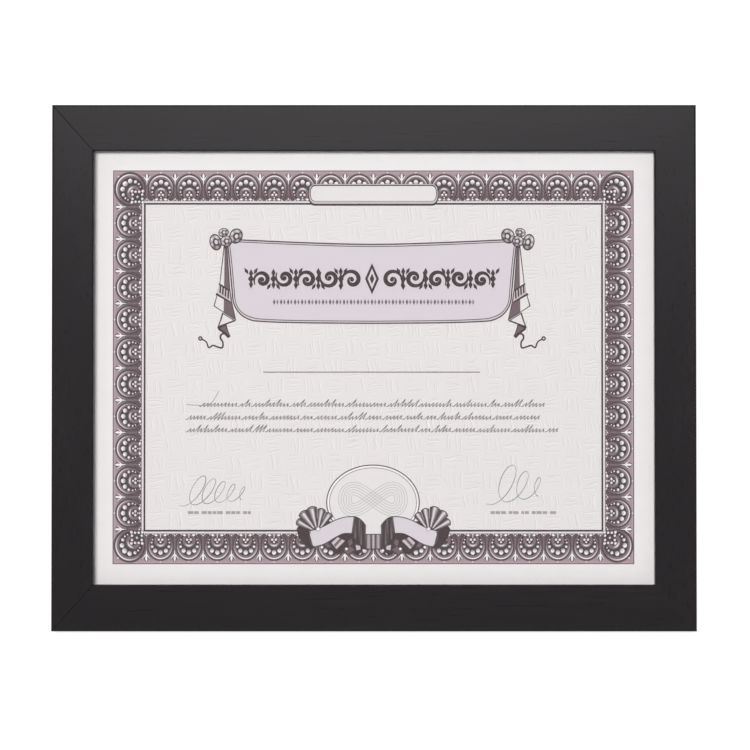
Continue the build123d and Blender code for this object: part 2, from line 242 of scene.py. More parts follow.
def spiral(centre: Point, outer: float, inner: float, start: float, turns: float) -> list[Point]:
    """A curl that winds inwards.

    Args:
        centre: Its eye.
        outer: Its radius where it starts.
        inner: Its radius at the eye.
        start: Its first angle in degrees.
        turns: How often it goes round, clockwise if negative.

    Returns:
        Its points.
    """
    steps = max(8, round(abs(turns) * 22))
    curl = []
    for i in range(steps + 1):
        share = i / steps
        radius = outer + (inner - outer) * share**0.8
        angle = math.radians(start) + math.tau * turns * share
        curl.append((centre[0] + radius * math.cos(angle), centre[1] + radius * math.sin(angle)))
    return curl


@dataclass
class InkPlates:
    """Thin closed plates of ink, gathered for one mesh. Points are millimetres from the drawing's middle.

    Attributes:
        flip: -1 draws everything mirrored left to right.
        points: Each corner's place.
        faces: Each face's corners.
        colours: Each corner's colour.
    """

    flip: int = 1
    points: list[Vector] = field(default_factory=list)
    faces: list[list[int]] = field(default_factory=list)
    colours: list[Colour] = field(default_factory=list)

    def corner(self, place: Point, height: float, tint: Tint) -> int:
        """Adds one corner.

        Args:
            place: Where it lies.
            height: How far it stands off the paper.
            tint: Its colour, or what gives the colour of a place.

        Returns:
            Its number.
        """
        self.points.append(Vector((place[0] * self.flip, place[1], height)) * MM)
        self.colours.append(tint(place) if callable(tint) else tint)
        return len(self.points) - 1

    def grid(self, rows: Sequence[Sequence[Point]], tints: Sequence[Tint], layer: float,
             closed: bool) -> None:
        """A plate whose top is a grid of faces.

        Args:
            rows: Lines of points side by side, as many points in each.
            tints: Each line's colour.
            layer: How many ink layers up its top lies.
            closed: Whether the lines run round in a loop.
        """
        top = [[self.corner(p, layer * LAYER, tint) for p in row] for row, tint in zip(rows, tints)]
        low = [[self.corner(p, 0, tints[i]) for p in rows[i]] for i in (0, -1)]
        count = len(rows[0])
        for c in range(count if closed else count - 1):
            d = (c + 1) % count
            self.faces += [[a[c], b[c], b[d], a[d]] for a, b in zip(top, top[1:])]
            self.faces.append([low[0][c], low[0][d], low[1][d], low[1][c]])
            self.faces.append([top[-1][c], low[1][c], low[1][d], top[-1][d]])
            self.faces.append([top[0][d], low[0][d], low[0][c], top[0][c]])
        if not closed:
            self.faces.append([row[0] for row in top] + [low[1][0], low[0][0]])
            self.faces.append([low[0][-1], low[1][-1]] + [row[-1] for row in reversed(top)])

    def shape(self, outline: Sequence[Point], tint: Tint, layer: float) -> None:
        """A plate with any outline.

        Args:
            outline: Its corners, in order.
            tint: Its colour.
            layer: How many ink layers up its top lies.
        """
        top = [self.corner(p, layer * LAYER, tint) for p in outline]
        low = [self.corner(p, 0, tint) for p in outline]
        count = len(outline)
        self.faces += [top, low[::-1]]
        self.faces += [[top[i], low[i], low[(i + 1) % count], top[(i + 1) % count]] for i in range(count)]

    def disc(self, centre: Point, rings: Sequence[tuple[float, Tint]], layer: float, sides: int) -> None:
        """A round plate shaded in rings.

        Args:
            centre: Its centre.
            rings: Radius and colour from the middle outwards. The first colour fills the middle.
            layer: How many ink layers up its top lies.
            sides: How many sides it has.
        """
        rows = [arc(centre, radius, 0, 360, sides)[:-1] for radius, _ in rings]
        top = [[self.corner(p, layer * LAYER, tint) for p in row] for row, (_, tint) in zip(rows, rings)]
        low = [self.corner(p, 0, rings[-1][1]) for p in rows[-1]]
        middle = self.corner(centre, layer * LAYER, rings[0][1])
        self.faces.append(low[::-1])
        for c in range(sides):
            d = (c + 1) % sides
            self.faces.append([middle, top[0][c], top[0][d]])
            self.faces += [[a[c], b[c], b[d], a[d]] for a, b in zip(top, top[1:])]
            self.faces.append([top[-1][c], low[c], low[d], top[-1][d]])

    def stroke(self, path: Sequence[Point], width: float | Callable[[float], float], tint: Tint,
               layer: float, closed: bool = False) -> None:
        """A pen line.

        Args:
            path: What its middle follows.
            width: Its width, or what gives the width at a share of its length.
            tint: Its colour.
            layer: How many ink layers up its top lies.
            closed: Whether it ends where it starts.
        """
        count = len(path)
        sides = ([], [])
        for i, here in enumerate(path):
            before = Vector(path[(i - 1) % count] if closed else path[max(i - 1, 0)])
            after = Vector(path[(i + 1) % count] if closed else path[min(i + 1, count - 1)])
            along = (after - before).normalized()
            half = (width(i / (count - 1)) if callable(width) else width) / 2
            for side, sign in zip(sides, (1, -1)):
                side.append((here[0] - along.y * half * sign, here[1] + along.x * half * sign))
        self.grid(sides, [tint, tint], layer, closed)

    def border(self, outer: Point, inner: Point, tints: tuple[Tint, Tint], layer: float) -> None:
        """A rectangular band about the middle.

        Args:
            outer: Its outer half width and half height.
            inner: Its inner half width and half height.
            tints: The colours of its outer and inner edges.
            layer: How many ink layers up its top lies.
        """
        signs = ((1, 1), (-1, 1), (-1, -1), (1, -1))
        rows = [[(x * half[0], y * half[1]) for x, y in signs] for half in (inner, outer)]
        self.grid(rows, tints[::-1], layer, True)

    def block(self, half: Point, tint: Tint, layer: float) -> None:
        """A plain rectangle about the middle."""
        wide, high = half
        self.shape([(wide, high), (-wide, high), (-wide, -high), (wide, -high)], tint, layer)

    def piece(self, name: str, finish: Material | None, place: Matrix | None = None) -> Object:
        """The gathered plates as one object.

        Args:
            name: The object's name.
            finish: Its material.
            place: Where the drawing goes, or None to leave it flat.

        Returns:
            The object, at the origin.
        """
        mesh = bpy.data.meshes.new(name)
        mesh.from_pydata([tuple(p) for p in self.points], [], self.faces)
        attribute = mesh.attributes.new(INK, "FLOAT_COLOR", "POINT")
        attribute.data.foreach_set("color", [value for c in self.colours for value in (*c, 1.0)])
        tidy_normals(mesh)
        if place is not None:
            mesh.transform(place)
        return linked(name, mesh, finish)


def tidy_normals(mesh: Mesh) -> None:
    """Turns every face of closed shells outwards.

    Args:
        mesh: The mesh, which is changed.
    """
    work = bmesh.new()
    work.from_mesh(mesh)
    bmesh.ops.recalc_face_normals(work, faces=work.faces)
    work.to_mesh(mesh)
    work.free()


def linked(name: str, mesh: Mesh, finish: Material | None) -> Object:
    """Puts a mesh into the scene.

    Args:
        name: The object's name.
        mesh: The mesh.
        finish: Its material, if it has one yet.

    Returns:
        The object.
    """
    if finish is not None:
        mesh.materials.clear()
        mesh.materials.append(finish)
    piece = bpy.data.objects.new(name, mesh)
    bpy.context.scene.collection.objects.link(piece)
    return piece


def on_frame(piece: Object) -> Object:
    """Fixes a piece to the frame's own body and reports it.

    Args:
        piece: The piece.

    Returns:
        The piece.
    """
    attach(piece, "frame")
    LOG.info("%s: %d faces", piece.name, len(piece.data.polygons))
    return piece


@dataclass
class NodeMaker:
    """Adds nodes to one tree, geometry or shader, and joins them.

    Attributes:
        tree: The tree.
    """

    tree: Tree

    @classmethod
    def group(cls, name: str, inputs: dict[str, object],
              *masks: str) -> tuple["NodeMaker", Sockets, Sockets]:
        """Starts a node group, which gives masks if any are named and geometry otherwise.

        Args:
            name: Its name.
            inputs: Each input's name, with its usual value, or with its kind if it has no usual value.
            masks: The names of its masks.

        Returns:
            The maker, the sockets that give the inputs and the sockets that take the outputs.
        """
        tree = bpy.data.node_groups.new(name, "ShaderNodeTree" if masks else "GeometryNodeTree")
        kinds = {float: "Float", int: "Int", tuple: "Vector"}
        for label, usual in inputs.items():
            kind = kinds.get(type(usual), usual)
            socket = tree.interface.new_socket(name=label, in_out="INPUT", socket_type=f"NodeSocket{kind}")
            if kind != usual:
                socket.default_value = usual
        given = "NodeSocketFloat" if masks else "NodeSocketGeometry"
        for label in masks or ("Geometry",):
            tree.interface.new_socket(name=label, in_out="OUTPUT", socket_type=given)
        maker = cls(tree)
        return maker, maker.add("NodeGroupInput").outputs, maker.add("NodeGroupOutput").inputs

    def add(self, kind: str, inputs: dict[int | str, object] | None = None, **settings: object) -> Node:
        """Adds one node.

        Args:
            kind: The node's type.
            inputs: Values and other nodes' sockets for its inputs.
            settings: Its own settings.

        Returns:
            The node.
        """
        node = self.tree.nodes.new(kind)
        for name, value in settings.items():
            setattr(node, name, value)
        for key, value in (inputs or {}).items():
            self.feed(node.inputs[key], value)
        return node

    def out(self, kind: str, inputs: dict[int | str, object] | None = None, **settings: object) -> Socket:
        """The first output of a new node."""
        return self.add(kind, inputs, **settings).outputs[0]

    def feed(self, socket: Socket, value: object) -> None:
        """Gives an input a value, or joins it to another node's socket.

        Args:
            socket: The input.
            value: Its value, or the socket that it takes one from.
        """
        if isinstance(value, Socket):
            self.tree.links.new(value, socket)
        else:
            socket.default_value = value

    def math(self, operation: str, *values: object) -> Socket:
        """The result of a Math node."""
        return self.out("ShaderNodeMath", dict(enumerate(values)), operation=operation)

    def dot(self, a: object, b: object) -> Socket:
        """The dot product of two directions."""
        return self.add("ShaderNodeVectorMath", {0: a, 1: b}, operation="DOT_PRODUCT").outputs["Value"]

    def scaled(self, vector: Socket, factor: Socket) -> Socket:
        """A vector or a colour times a factor."""
        return self.out("ShaderNodeVectorMath", {0: vector, "Scale": factor}, operation="SCALE")

    def combine(self, **axes: object) -> Socket:
        """A vector from its parts, X, Y and Z."""
        return self.out("ShaderNodeCombineXYZ", axes)

    def place(self) -> Socket:
        """Where a point of the surface lies."""
        return self.add("ShaderNodeTexCoord").outputs["Object"]

    def normal(self) -> Socket:
        """Which way the surface faces."""
        return self.add("ShaderNodeNewGeometry").outputs["Normal"]

    def noise(self, vector: Socket, scale: object, detail: object) -> Socket:
        """Noise at a place."""
        return self.out("ShaderNodeTexNoise", {"Vector": vector, "Scale": scale, "Detail": detail})

    def spread(self, value: object, low: float, high: float, out_low: float = 0.0,
               out_high: float = 1.0) -> Socket:
        """Stretches a value from one range to another, held at both ends.

        Args:
            value: The value.
            low: Where the first range starts.
            high: Where the first range ends.
            out_low: Where the second range starts.
            out_high: Where the second range ends.

        Returns:
            The stretched value's socket.
        """
        inputs = {0: value, 1: low, 2: high, 3: out_low, 4: out_high}
        return self.out("ShaderNodeMapRange", inputs, clamp=True)

    def between(self, share: object, low: float, high: float) -> Socket:
        """The value that lies between two others, at a share from 0 to 1."""
        return self.spread(share, 0.0, 1.0, low, high)

    def mix(self, share: object, a: object, b: object) -> Socket:
        """The colour that lies between two others.

        Args:
            share: Where it lies.
            a: The colour at 0.
            b: The colour at 1.

        Returns:
            The colour's socket.
        """
        node = self.add("ShaderNodeMix", data_type="RGBA")
        for socket, value in zip((node.inputs[0], node.inputs[6], node.inputs[7]), (share, a, b)):
            self.feed(socket, (*value, 1.0) if isinstance(value, tuple) and len(value) == 3 else value)
        return node.outputs[2]

    def stored(self, geometry: Socket, name: str, value: Socket) -> Socket:
        """Geometry whose points keep a value under that name."""
        inputs = {"Geometry": geometry, "Name": name, "Value": value}
        return self.out("GeometryNodeStoreNamedAttribute", inputs, data_type="FLOAT", domain="POINT")

    def kept(self, name: str) -> Socket:
        """The value that the points keep under that name."""
        return self.out("GeometryNodeInputNamedAttribute", {"Name": name}, data_type="FLOAT")

    def chance(self, seed: Socket, low: Colour, high: Colour) -> Socket:
        """A random vector between two others for each point."""
        inputs = {"Min": low, "Max": high, "Seed": seed}
        return self.out("FunctionNodeRandomValue", inputs, data_type="FLOAT_VECTOR")

    def row(self, count: Socket, gap: Socket, axis: str, **aside: Socket) -> Socket:
        """Points in a row that has its middle at 0.

        Args:
            count: How many there are.
            gap: From one to the next.
            axis: The axis that the row runs along.
            aside: The row's place along another axis.

        Returns:
            The points.
        """
        half = self.math("MULTIPLY", self.math("SUBTRACT", count, 1), -0.5)
        first = self.combine(**{axis: self.math("MULTIPLY", half, gap)}, **aside)
        inputs = {"Count": count, "Start Location": first, "Offset": self.combine(**{axis: gap})}
        return self.out("GeometryNodeMeshLine", inputs, mode="OFFSET")

    def stamped(self, points: Socket, motif: Socket, **placed: Socket) -> Socket:
        """An object's shape at each point.

        Args:
            points: Where the shapes go.
            motif: The object that is stamped.
            placed: The sockets that turn it or set its size, by the input's name.

        Returns:
            The stamped shapes.
        """
        shown = self.add("GeometryNodeObjectInfo", {"Object": motif, "As Instance": True})
        inputs = {"Points": points, "Instance": shown.outputs["Geometry"], **placed}
        return self.out("GeometryNodeInstanceOnPoints", inputs)

    def finished(self, geometry: Socket, given: Sockets, result: Sockets) -> Tree:
        """Gives real geometry its finish and hands it out.

        Args:
            geometry: The geometry.
            given: The sockets that give the group's inputs.
            result: The sockets that take its outputs.

        Returns:
            The tree.
        """
        inputs = {"Geometry": geometry, "Material": given["Finish"]}
        self.feed(result[0], self.out("GeometryNodeSetMaterial", inputs))
        return self.tree


def grain_group() -> Tree:
    """Fine grain that can be drawn out along one direction, for paint, metal, card and cloth.

    Returns:
        The group, with a fine mask and a mask of wide blotches.
    """
    inputs = {"Turn": (0, 0, 0), "Stretch": (1, 1, 1), "Scale": 500.0, "Detail": 3.0}
    maker, given, result = NodeMaker.group("fine_grain", inputs, "Mask", "Blotch")
    turned = maker.out("ShaderNodeMapping", {
        "Vector": maker.place(), "Rotation": given["Turn"], "Scale": given["Stretch"]})
    fine = maker.noise(turned, given["Scale"], given["Detail"])
    wide = maker.noise(turned, maker.math("MULTIPLY", given["Scale"], 0.06), 2.0)
    maker.feed(result["Mask"], maker.spread(fine, 0.3, 0.7))
    maker.feed(result["Blotch"], maker.spread(wide, 0.3, 0.7))
    return maker.tree


def wear_group() -> Tree:
    """Wear on the arrises: where the surface turns within a short distance, broken up by noise.

    Returns:
        The group, with a mask.
    """
    inputs = {"Reach": 0.0006, "Breaks": 120.0, "Amount": 0.5}
    maker, given, result = NodeMaker.group("edge_wear", inputs, "Mask")
    eased = maker.out("ShaderNodeBevel", {"Radius": given["Reach"]}, samples=4)
    turn = maker.math("SUBTRACT", 1.0, maker.dot(eased, maker.normal()))
    edge = maker.spread(turn, 0.02, 0.22)
    noise = maker.noise(maker.place(), given["Breaks"], 4.0)
    broken = maker.math("MULTIPLY", edge, maker.spread(noise, 0.42, 0.66, 0.15, 1.0))
    maker.feed(result["Mask"], maker.math("MULTIPLY", broken, given["Amount"]))
    return maker.tree


def dust_group() -> Tree:
    """Dust that settles where a surface faces up.

    Returns:
        The group, with a mask.
    """
    maker, given, result = NodeMaker.group("settled_dust", {"Scale": 60.0, "Amount": 0.2}, "Mask")
    height = maker.add("ShaderNodeSeparateXYZ", {0: maker.normal()}).outputs["Z"]
    upward = maker.spread(height, 0.35, 0.95)
    noise = maker.noise(maker.place(), given["Scale"], 6.0)
    lying = maker.math("MULTIPLY", upward, maker.spread(noise, 0.35, 0.75, 0.2, 1.0))
    maker.feed(result["Mask"], maker.math("MULTIPLY", lying, given["Amount"]))
    return maker.tree


GRAIN = grain_group()
WEAR = wear_group()
DUST = dust_group()
LEAN = math.atan2(-PLANE.back.z, PLANE.back.y)
HINGE = next(joint for joint in frame["joints"] if joint["name"] == "easel_fold")
LEG_SWING = math.radians(-HINGE["range_deg"][0])


@dataclass
class Paint(NodeMaker):
    """A material in the making: its nodes and its Principled shader.

    Attributes:
        material: The material.
        shader: Its Principled shader.
    """

    material: Material
    shader: Node

    @classmethod
    def named(cls, name: str, **constants: object) -> "Paint":
        """Starts a material.

        Args:
            name: Its name.
            constants: Values for the shader's sockets, with _ for a space in their names.

        Returns:
            The material in the making.
        """
        material = bpy.data.materials.new(name)
        material.use_nodes = True
        paint = cls(material.node_tree, material, material.node_tree.nodes["Principled BSDF"])
        for key, value in constants.items():
            paint.feed(paint.shader.inputs[key.replace("_", " ")], value)
        return paint

    def use(self, group: Tree, **inputs: object) -> Sockets:
        """What a shared group gives for its own values."""
        return self.add("ShaderNodeGroup", inputs, node_tree=group).outputs

    def bump(self, height: Socket, strength: float, depth: float) -> None:
        """Lets a height show as relief.

        Args:
            height: The height's socket.
            strength: How much of it shows.
            depth: Its depth in millimetres.
        """
        inputs = {"Height": height, "Strength": strength, "Distance": depth * MM}
        self.feed(self.shader.inputs["Normal"], self.out("ShaderNodeBump", inputs))

    def colour(self, value: object) -> None:
        """Joins the base colour."""
        self.feed(self.shader.inputs["Base Color"], value)

    def roughness(self, value: object) -> None:
        """Joins the roughness."""
        self.feed(self.shader.inputs["Roughness"], value)


@dataclass(frozen=True)
class SatinLacquer:
    """Satin black lacquer over a machined moulding, drawn faintly along its length.

    Attributes:
        name: The material's name.
        stretch: How the grain is drawn out, smallest along the moulding.
        dark: The lacquer's darkest colour.
        light: Its palest colour.
        worn: The colour of a rubbed arris.
        dusty: The colour of the dust on it.
        sheen_low: The glossiest roughness.
        sheen_high: The dullest roughness.
    """

    name: str
    stretch: tuple[float, float, float]
    dark: Colour = linear(20, 16, 19)
    light: Colour = linear(29, 25, 28)
    worn: Colour = linear(70, 68, 70)
    dusty: Colour = linear(150, 146, 142)
    sheen_low: float = 0.27
    sheen_high: float = 0.35

    def build(self) -> Material:
        """Draws the lacquer along the grain, rubs its edges and dusts it.

        Returns:
            The finished material.
        """
        paint = Paint.named(self.name, Specular_IOR_Level=0.17)
        turn = (LEAN, 0, 0)
        drawn = paint.use(GRAIN, Turn=turn, Stretch=self.stretch, Scale=900.0, Detail=4.0)
        peel = paint.use(GRAIN, Turn=turn, Scale=1500.0, Detail=2.0)
        wear = paint.use(WEAR, Reach=0.0007, Breaks=160.0, Amount=0.2)
        dust = paint.use(DUST, Scale=220.0, Amount=0.05)
        base = paint.mix(paint.math("MULTIPLY", drawn["Mask"], drawn["Blotch"]), self.dark, self.light)
        rubbed = paint.mix(wear["Mask"], base, self.worn)
        paint.colour(paint.mix(dust["Mask"], rubbed, self.dusty))
        paint.roughness(paint.between(drawn["Mask"], self.sheen_low, self.sheen_high))
        height = paint.math("ADD", paint.math("MULTIPLY", peel["Mask"], 0.6), drawn["Mask"])
        paint.bump(height, strength=0.034, depth=0.04)
        return paint.material


@dataclass(frozen=True)
class ClearGlass:
    """Clear float glass, with the faint green of its thickness.

    Attributes:
        name: The material's name.
        tint: What passes through it.
        smear: The roughness of its faint smears.
    """

    name: str = "clear_float_glass"
    tint: Colour = (0.975, 0.985, 0.98)
    smear: float = 0.012

    def build(self) -> Material:
        """Smears the glass faintly and lets light through to what lies behind it.

        Returns:
            The finished material.
        """
        paint = Paint.named(self.name, Transmission_Weight=1.0, IOR=1.45, Specular_IOR_Level=0.06)
        smeared = paint.use(GRAIN, Stretch=(1, 1, 0.3), Scale=40.0, Detail=5.0)
        paint.roughness(paint.spread(smeared["Mask"], 0.6, 1.0, 0.0, self.smear))
        paint.colour((*self.tint, 1.0))
        path = paint.add("ShaderNodeLightPath")
        unseen = paint.math("MAXIMUM", path.outputs["Is Shadow Ray"], path.outputs["Is Diffuse Ray"])
        clear = paint.out("ShaderNodeBsdfTransparent", {0: (*self.tint, 1.0)})
        both = paint.out("ShaderNodeMixShader", {0: unseen, 1: paint.shader.outputs[0], 2: clear})
        paint.feed(paint.tree.nodes["Material Output"].inputs["Surface"], both)
        return paint.material


@dataclass(frozen=True)
class PrintedPaper:
    """Matt paper that takes its colour from the ink laid on it.

    Attributes:
        name: The material's name.
        dull: How much the paper's own fibres grey the ink.
    """

    name: str = "printed_paper"
    dull: float = 0.035

    def build(self) -> Material:
        """Takes the ink's colours, greyed a little by the fibres.

        Returns:
            The finished material.
        """
        paint = Paint.named(self.name, Specular_IOR_Level=0.05)
        ink = paint.out("ShaderNodeAttribute", attribute_name=INK, attribute_type="GEOMETRY")
        fibre = paint.use(GRAIN, Turn=(LEAN, 0, 0), Stretch=(0.6, 1, 1), Scale=2600.0, Detail=4.0)
        cloud = paint.math("ADD", paint.math("MULTIPLY", fibre["Mask"], 0.6),
                           paint.math("MULTIPLY", fibre["Blotch"], 0.4))
        shade = paint.between(cloud, 1.0 - self.dull, 1.0)
        paint.colour(paint.scaled(ink, shade))
        paint.roughness(paint.between(fibre["Mask"], 0.62, 0.78))
        paint.bump(fibre["Mask"], strength=0.12, depth=0.03)
        return paint.material


@dataclass(frozen=True)
class FacedBoard:
    """Hardboard faced with black grained paper, with bare brown fibre on its cut edges.

    Attributes:
        name: The material's name.
        face: The direction that its faces look along.
        black: The facing's colour.
        crease_shade: The painted shade in the creases of the facing's grain.
        fibre: The cut edge's colour.
        fibre_dark: The darker fibres in the cut edge.
        worn: The colour of a rubbed arris.
        dusty: The colour of the dust on it.
    """

    name: str
    face: tuple[float, float, float]
    black: Colour = linear(44, 43, 45)
    crease_shade: Colour = linear(24, 23, 25)
    fibre: Colour = linear(112, 82, 58)
    fibre_dark: Colour = linear(74, 52, 36)
    worn: Colour = linear(120, 100, 82)
    dusty: Colour = linear(156, 152, 146)

    def build(self) -> Material:
        """Grains the facing with painted shade in its creases, bares its cut edges and dusts it.

        Returns:
            The finished material.
        """
        paint = Paint.named(self.name, Specular_IOR_Level=0.35)
        inputs = {"Vector": paint.place(), "Scale": 900.0, "Randomness": 0.9}
        cells = paint.add("ShaderNodeTexVoronoi", inputs, feature="DISTANCE_TO_EDGE").outputs["Distance"]
        leather = paint.spread(cells, 0.0, 0.22)
        fine = paint.use(GRAIN, Scale=1600.0, Detail=3.0)
        wear = paint.use(WEAR, Reach=0.0008, Breaks=140.0, Amount=0.8)
        dust = paint.use(DUST, Scale=160.0, Amount=0.10)
        square = paint.math("ABSOLUTE", paint.dot(paint.normal(), self.face))
        cut = paint.spread(square, 0.75, 0.85, 1.0, 0.0)
        # Painted shade: the grain's creases, low in the relief, are darker than the facing.
        facing = paint.mix(leather, self.crease_shade, self.black)
        edge = paint.mix(fine["Mask"], self.fibre_dark, self.fibre)
        base = paint.mix(cut, facing, edge)
        rubbed = paint.mix(wear["Mask"], base, self.worn)
        paint.colour(paint.mix(dust["Mask"], rubbed, self.dusty))
        paint.roughness(paint.between(cut, 0.55, 0.9))
        paint.bump(paint.mix(cut, leather, fine["Mask"]), strength=0.35, depth=0.06)
        return paint.material


@dataclass(frozen=True)
class PlatedSteel:
    """Pressed steel with a thin bright plating, brushed, dulled in patches and worn at its edges.

    Attributes:
        name: The material's name.
        bright: The plating's colour.
        dull: Its colour where it has dulled.
        bare: The steel's colour where it has worn through.
        smoothness: Its lowest roughness.
        dulling: How much rougher it is where it has dulled.
    """

    name: str
    bright: Colour
    dull: Colour
    bare: Colour = linear(150, 148, 146)
    smoothness: float = 0.24
    dulling: float = 0.22

    def build(self) -> Material:
        """Brushes the plating, dulls it in patches and wears its edges.

        Returns:
            The finished material.
        """
        paint = Paint.named(self.name, Metallic=1.0)
        brushed = paint.use(GRAIN, Turn=(LEAN, 0, 0), Stretch=(0.12, 1, 1), Scale=2400.0, Detail=3.0)
        patch = paint.use(GRAIN, Scale=700.0, Detail=5.0)
        wear = paint.use(WEAR, Reach=0.0003, Breaks=500.0, Amount=0.7)
        base = paint.mix(patch["Blotch"], self.bright, self.dull)
        paint.colour(paint.mix(wear["Mask"], base, self.bare))
        rough = paint.math("ADD", brushed["Mask"], patch["Blotch"])
        paint.roughness(paint.spread(rough, 0.0, 2.0, self.smoothness, self.smoothness + self.dulling))
        paint.bump(brushed["Mask"], strength=0.12, depth=0.02)
        return paint.material


@dataclass(frozen=True)
class BrownCard:
    """Corrugated brown card, whose flutes show through its liner as faint ribs.

    Attributes:
        name: The material's name.
        liner: The liner's colour.
        shade: The painted shade between the flutes, darker than the liner.
        flutes: How many flutes there are to a metre.
    """

    name: str = "corrugated_card"
    liner: Colour = linear(186, 152, 112)
    shade: Colour = linear(160, 126, 88)
    flutes: float = 150.0

    def build(self) -> Material:
        """Ribs the liner with the flutes under it, with painted shade between the ribs.

        Returns:
            The finished material.
        """
        paint = Paint.named(self.name, Specular_IOR_Level=0.2)
        inputs = {"Vector": paint.place(), "Scale": self.flutes, "Distortion": 0.4}
        rib = paint.add("ShaderNodeTexWave", inputs, bands_direction="X").outputs["Fac"]
        fibre = paint.use(GRAIN, Stretch=(1, 1, 0.4), Scale=1300.0, Detail=5.0)
        ribbed, felted = (paint.between(value, 0.6, 1.0) for value in (rib, fibre["Mask"]))
        tone = paint.math("MULTIPLY", ribbed, felted)
        # Painted shade between the flute ribs, mixed with the fibres' own random tone.
        paint.colour(paint.mix(tone, self.shade, self.liner))
        paint.roughness(paint.between(fibre["Mask"], 0.8, 0.95))
        paint.bump(tone, strength=0.4, depth=0.15)
        return paint.material


@dataclass(frozen=True)
class WovenTape:
    """Black grosgrain: ribs across the tape, read from the tape's own measure.

    Attributes:
        name: The material's name.
        thread: The thread's colour.
        painted_rib_shade: The painted shade between the ribs and the threads.
        fuzz: The colour of its loose fibres.
        ribs: How many ribs there are to a metre.
        ends: How many threads there are to a metre across.
    """

    name: str = "black_grosgrain"
    thread: Colour = linear(52, 51, 55)
    painted_rib_shade: Colour = linear(18, 17, 19)
    fuzz: Colour = linear(80, 78, 82)
    ribs: float = 1100.0
    ends: float = 2600.0

    def build(self) -> Material:
        """Weaves ribs across the tape and threads along it, with painted shade where the weave is low.

        Returns:
            The finished material.
        """
        paint = Paint.named(self.name, Specular_IOR_Level=0.3, Sheen_Weight=0.25, Sheen_Roughness=0.5)
        waves = []
        for name, count in (("along", self.ribs), ("across", self.ends)):
            measure = paint.add("ShaderNodeAttribute", attribute_name=name).outputs["Fac"]
            turn = paint.math("MULTIPLY", measure, count * math.tau)
            waves.append(paint.spread(paint.math("SINE", turn), -1, 1))
        weave = paint.math("MULTIPLY", waves[0], paint.between(waves[1], 0.55, 1.0))
        loose = paint.math("MULTIPLY", paint.use(GRAIN, Scale=3000.0, Detail=4.0)["Mask"], 0.25)
        # Painted shade: the colour darkens between the ribs and threads, where the weave's relief is low.
        paint.colour(paint.mix(loose, paint.mix(weave, self.painted_rib_shade, self.thread), self.fuzz))
        paint.roughness(paint.between(weave, 0.9, 0.65))
        paint.bump(weave, strength=0.6, depth=0.12)
        return paint.material


@dataclass(frozen=True)
class SoftPad:
    """Dark soft rubber, slightly pitted, with dust in its pits.

    Attributes:
        name: The material's name.
        rubber: Its colour.
        dusty: Its colour where dust lies.
    """

    name: str = "soft_pad_rubber"
    rubber: Colour = linear(48, 48, 50)
    dusty: Colour = linear(82, 80, 78)

    def build(self) -> Material:
        """Pits the rubber and lays dust in the pits and along its edges.

        Returns:
            The finished material.
        """
        paint = Paint.named(self.name, Specular_IOR_Level=0.35)
        pits = paint.use(GRAIN, Scale=2200.0, Detail=5.0)
        wear = paint.use(WEAR, Reach=0.0005, Breaks=400.0, Amount=0.5)
        base = paint.mix(paint.between(pits["Mask"], 0.0, 0.5), self.rubber, self.dusty)
        paint.colour(paint.mix(wear["Mask"], base, self.dusty))
        paint.roughness(paint.between(pits["Mask"], 0.7, 0.88))
        paint.bump(pits["Mask"], strength=0.4, depth=0.05)
        return paint.material


def modifier_result(tree: Tree, inputs: dict[str, object], source: bpy.types.ID) -> Mesh:
    """Runs a Geometry Nodes tree once and keeps its result as a plain mesh.

    Args:
        tree: The tree.
        inputs: Its inputs by name.
        source: The mesh or curve that it starts from.

    Returns:
        The mesh.
    """
    carrier = bpy.data.objects.new("carrier", source)
    bpy.context.scene.collection.objects.link(carrier)
    modifier = carrier.modifiers.new("run", "NODES")
    modifier.node_group = tree
    for item in tree.interface.items_tree:
        if item.item_type == "SOCKET" and item.in_out == "INPUT" and item.name in inputs:
            modifier[item.identifier] = inputs[item.name]
    graph = bpy.context.evaluated_depsgraph_get()
    mesh = bpy.data.meshes.new_from_object(carrier.evaluated_get(graph), depsgraph=graph)
    carrier.modifiers.clear()
    bpy.data.objects.remove(carrier)
    return mesh


def run_tree() -> Tree:
    """The tree that sets one motif out along a run, another midway between each two, and turns the run.

    Returns:
        The tree.
    """
    maker, given, result = NodeMaker.group("motif_run", {
        "Motif": "Object", "Between": "Object", "Count": 3, "Pitch": 0.01, "Offset": 0.0, "Turn": 0.0,
        "Squeeze": (1.0, 1.0, 1.0), "Finish": "Material"})
    joined = maker.add("GeometryNodeJoinGeometry")
    for label, extra in (("Motif", 0), ("Between", 1)):
        count = maker.math("ADD", given["Count"], extra)
        line = maker.row(count, given["Pitch"], "X", Y=given["Offset"])
        maker.feed(joined.inputs[0], maker.stamped(line, given[label]))
    real = maker.out("GeometryNodeRealizeInstances", {0: joined.outputs[0]})
    turn = maker.combine(Z=given["Turn"])
    turned = maker.out("GeometryNodeTransform", {"Geometry": real, "Rotation": turn})
    squeezed = maker.out("GeometryNodeTransform", {"Geometry": turned, "Scale": given["Squeeze"]})
    return maker.finished(squeezed, given, result)


